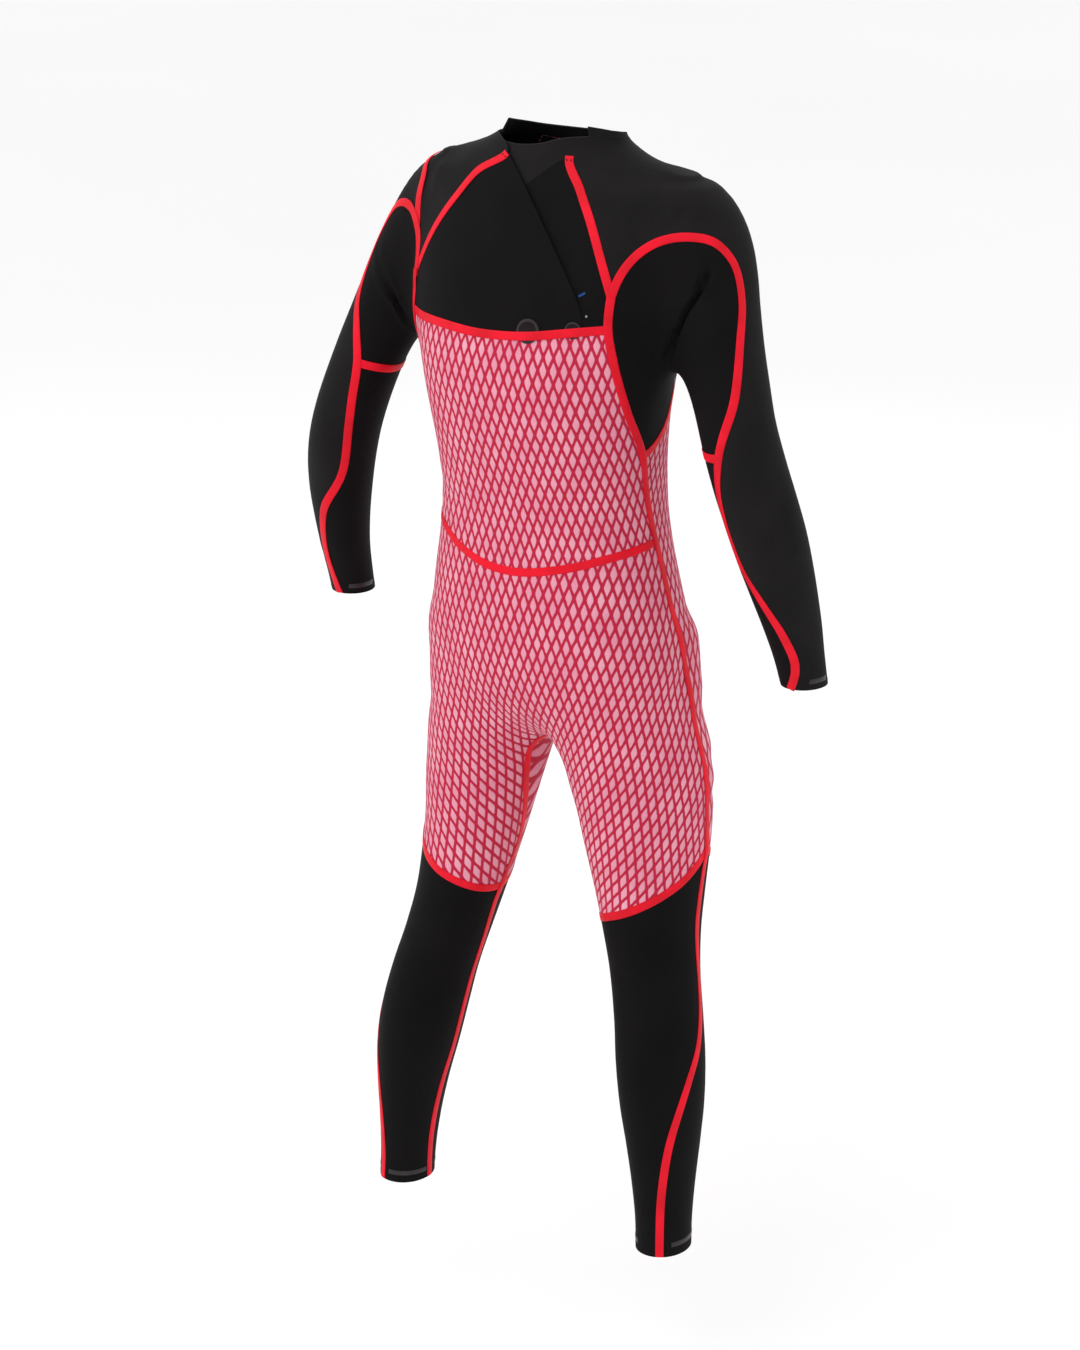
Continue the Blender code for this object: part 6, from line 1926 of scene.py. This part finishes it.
@dataclass
class Stitching:
    """Thread laid along the hems and round the collar by Geometry Nodes."""

    form: Form
    seams: SeamPlan
    folds: PanelCutter
    dresser: Dresser
    ground: Ground
    spacing: float = 0.0034
    length: float = 0.0024
    radius: float = 0.00032
    clearance: float = 0.0001
    # name, stretches and height above the hem of the rows at wrist and ankle
    hems: tuple = (("wrist", "wrist_out -wrist_in", 0.0050), ("ankle", "ankle_back -ankle_front", 0.0055))
    collar_height: float = 0.0035
    # places of the rows along the tape, and their half length
    tack_rows: tuple[float, ...] = (0.0052, 0.0060, 0.0068)
    tack_half: float = 0.0026

    def tree(self) -> bpy.types.NodeTree:
        """Build the node tree that sets one stitch after another along a line.

        Returns:
            The tree.
        """
        group = bpy.data.node_groups.new("lay_stitches", "GeometryNodeTree")
        face = group.interface
        face.new_socket("Line", in_out="INPUT", socket_type="NodeSocketGeometry")
        for name, value in (("Spacing", self.spacing), ("Length", self.length),
                            ("Radius", self.radius)):
            socket = face.new_socket(name, in_out="INPUT", socket_type="NodeSocketFloat")
            socket.default_value = value
        face.new_socket("Thread", in_out="INPUT", socket_type="NodeSocketMaterial")
        face.new_socket("Stitches", in_out="OUTPUT", socket_type="NodeSocketGeometry")
        add = group.nodes.new
        start, end = add("NodeGroupInput"), add("NodeGroupOutput")
        curve, points = add("GeometryNodeMeshToCurve"), add("GeometryNodeCurveToPoints")
        turn, ball = add("FunctionNodeAlignRotationToVector"), add("GeometryNodeMeshUVSphere")
        size, half = add("ShaderNodeCombineXYZ"), add("ShaderNodeMath")
        shape, copies = add("GeometryNodeTransform"), add("GeometryNodeInstanceOnPoints")
        real, paint = add("GeometryNodeRealizeInstances"), add("GeometryNodeSetMaterial")
        points.mode, turn.axis, half.operation = "LENGTH", "Z", "MULTIPLY"
        half.inputs[1].default_value = 0.5
        for name, value in (("Segments", 6), ("Rings", 4), ("Radius", 1.0)):
            ball.inputs[name].default_value = value
        for source, out_socket, target, in_socket in (
                (start, "Line", curve, "Mesh"), (curve, "Curve", points, "Curve"),
                (start, "Spacing", points, "Length"), (points, "Tangent", turn, "Vector"),
                (start, "Radius", size, 0), (start, "Radius", size, 1), (start, "Length", half, 0),
                (half, 0, size, 2), (ball, "Mesh", shape, "Geometry"), (size, 0, shape, "Scale"),
                (points, "Points", copies, "Points"), (shape, "Geometry", copies, "Instance"),
                (turn, "Rotation", copies, "Rotation"), (copies, "Instances", real, "Geometry"),
                (real, "Geometry", paint, "Geometry"), (start, "Thread", paint, "Material"),
                (paint, "Geometry", end, "Stitches")):
            group.links.new(source.outputs[out_socket], target.inputs[in_socket])
        return group

    def lines(self) -> dict[str, Array]:
        """Find where the stitches run, above the floor.

        Returns:
            The line of each row of stitches, by its name.
        """
        found = {}
        for side in SIGN:
            for hem, stretches, above in self.hems:
                line = self.seams.join(stretches, side) + np.array([0, 0, above])
                line = self.form.lay(line, level=True)
                found[f"{hem}_stitches_{side}"] = self.on_cloth(line)
        row = self.seams.neckline()[2:-2] + np.array([0, 0, self.collar_height])
        found["collar_stitches"] = self.on_cloth(self.form.lay(row))
        for side in SIGN:
            seam = self.seams.join("raglan_back", side)
            for number, below in enumerate(self.tack_rows):
                found[f"raglan_tack_{side}_{number}"] = self.tack(seam, below)
        return found

    def tack(self, seam: Array, below: float) -> Array:
        """A short row of stitches across a tape, near its upper end.

        Args:
            seam: The seam that the tape covers, from its upper end.
            below: How far along the seam the row is.

        Returns:
            Points across the tape, on its face.
        """
        spot = read_line(seam, along(seam), below)
        across = unit(np.cross(self.form.outward(spot[None])[0], seam[1] - seam[0]))
        row = self.form.lay(spot + across * np.linspace(-1, 1, 7)[:, None] * self.tack_half)
        normals = self.form.outward(row)
        height = self.ground.height(row, normals)
        return row + normals * (height + self.clearance)[:, None]

    def on_cloth(self, line: Array) -> Array:
        """A line moved out to the face of the cloth."""
        return line + self.form.outward(line) * (self.folds.folded(line) + self.clearance)[:, None]

    def dress(self) -> None:
        """Sew every line."""
        group = self.tree()
        names = {item.name: item.identifier for item in group.interface.items_tree
                 if item.in_out == "INPUT"}
        for name, line in self.lines().items():
            guide = bpy.data.meshes.new(name + "_guide")
            guide.from_pydata((line - ORIGIN).tolist(), [(i, i + 1) for i in range(len(line) - 1)], [])
            obj = bpy.data.objects.new(name + "_guide", guide)
            bpy.context.scene.collection.objects.link(obj)
            modifier = obj.modifiers.new("stitches", "NODES")
            modifier.node_group = group
            modifier[names["Spacing"]] = self.spacing
            modifier[names["Length"]] = self.length
            modifier[names["Radius"]] = self.radius
            modifier[names["Thread"]] = self.dresser.finishes.thread
            graph = bpy.context.evaluated_depsgraph_get()
            mesh = bpy.data.meshes.new_from_object(obj.evaluated_get(graph), depsgraph=graph)
            bpy.data.objects.remove(obj)
            mesh.name = name
            mesh.shade_smooth()
            self.dresser.place(name, mesh, (self.dresser.finishes.thread,), Slot.BLACK)


# --------------------------------------------------------------- studio ----
@dataclass
class Studio:
    """Pale floor, soft light and the camera at the photo's angle."""

    floor_height: float = -1.480
    camera_place: Point = (-2.152, 3.498, 0.781)
    camera_target: Point = (0.0372, -0.0057, -0.6254)
    lens: float = 96.72
    sensor: float = 36.0
    clip: tuple[float, float] = (0.05, 200.0)
    half_floor: float = 60.0
    floor_shades: tuple[float, float] = (0.94, 0.955)
    world_strength: float = 0.99
    lamp_target: Point = (0.0, 0.0, -0.2)
    # name, place, size, power, colour
    lamps: tuple = (
        ("key", (2.8, 2.2, 1.5), 2.2, 27.0, (1.0, 0.99, 0.98)),
        ("fill", (-1.4, 3.4, 2.2), 2.6, 7.0, (0.98, 0.99, 1.0)),
        ("top", (0.2, 1.6, 1.9), 1.8, 13.0, (1.0, 1.0, 1.0)),
        ("front", (1.0, -3.6, 1.6), 3.2, 12.0, (1.0, 1.0, 1.0)),
    )

    def build(self) -> None:
        """Set the studio up."""
        self.add_floor()
        self.add_lamps()
        self.add_camera()
        world = bpy.data.worlds.new("studio")
        world.use_nodes = True
        sky = world.node_tree.nodes["Background"]
        sky.inputs["Color"].default_value = (1.0, 1.0, 1.0, 1.0)
        sky.inputs["Strength"].default_value = self.world_strength
        bpy.context.scene.world = world
        bpy.context.scene.view_settings.view_transform = "Standard"
        bpy.context.scene.view_settings.look = "None"

    def add_floor(self) -> None:
        """A wide, plain, pale floor."""
        mesh = bpy.data.meshes.new("floor")
        size, height = self.half_floor, self.floor_height
        mesh.from_pydata([(-size, -size, height), (size, -size, height), (size, size, height),
                          (-size, size, height)], [], [(0, 1, 2, 3)])
        tree = ShaderTree("pale_floor")
        shade = tree.noise(tree.object_place(), 0.6, 2.0)
        low, high = ((value,) * 3 for value in self.floor_shades)
        tree.link(tree.ramp(shade, ((0.3, low), (0.7, high))), "Base Color")
        tree.link(0.9, "Roughness")
        mesh.materials.append(tree.material)
        floor = bpy.data.objects.new("floor", mesh)
        bpy.context.scene.collection.objects.link(floor)

    def add_lamps(self) -> None:
        """Large soft lamps that all face the suit."""
        for name, place, size, power, colour in self.lamps:
            lamp = bpy.data.lights.new(name, "AREA")
            lamp.size, lamp.energy, lamp.color = size, power, colour
            obj = bpy.data.objects.new(name, lamp)
            obj.location = place
            way = Vector(self.lamp_target) - Vector(place)
            obj.rotation_euler = way.to_track_quat("-Z", "Y").to_euler()
            bpy.context.scene.collection.objects.link(obj)

    def add_camera(self) -> None:
        """The camera, where the photo was taken from."""
        camera = bpy.data.cameras.new("camera")
        camera.lens, camera.sensor_width = self.lens, self.sensor
        camera.clip_start, camera.clip_end = self.clip
        obj = bpy.data.objects.new("camera", camera)
        obj.location = self.camera_place
        way = Vector(self.camera_target) - Vector(self.camera_place)
        obj.rotation_euler = way.to_track_quat("-Z", "Y").to_euler()
        bpy.context.scene.collection.objects.link(obj)
        bpy.context.scene.camera = obj


def main() -> None:
    """Build the dressed suit and write how large it is."""
    logging.basicConfig(level=logging.INFO, format="%(message)s")
    Studio().build()
    form = Form()
    cutter = PanelCutter(form, SeamPlan(form), SeamPlan(form, DETAIL))
    dresser = Dresser(Finishes())
    ground = Ground()
    Panels(cutter.lay_all(), dresser).dress(ground)
    closure = Closure(form, dresser)
    closure.dress_patches(ground)
    Tapes(form, cutter.fine, cutter, dresser).dress(ground)
    closure.dress_bead()
    closure.dress_tag()
    HemStrips(form, cutter.fine, cutter, dresser).dress()
    Stitching(form, cutter.fine, cutter, dresser, ground).dress()


if __name__ == "__main__":
    main()
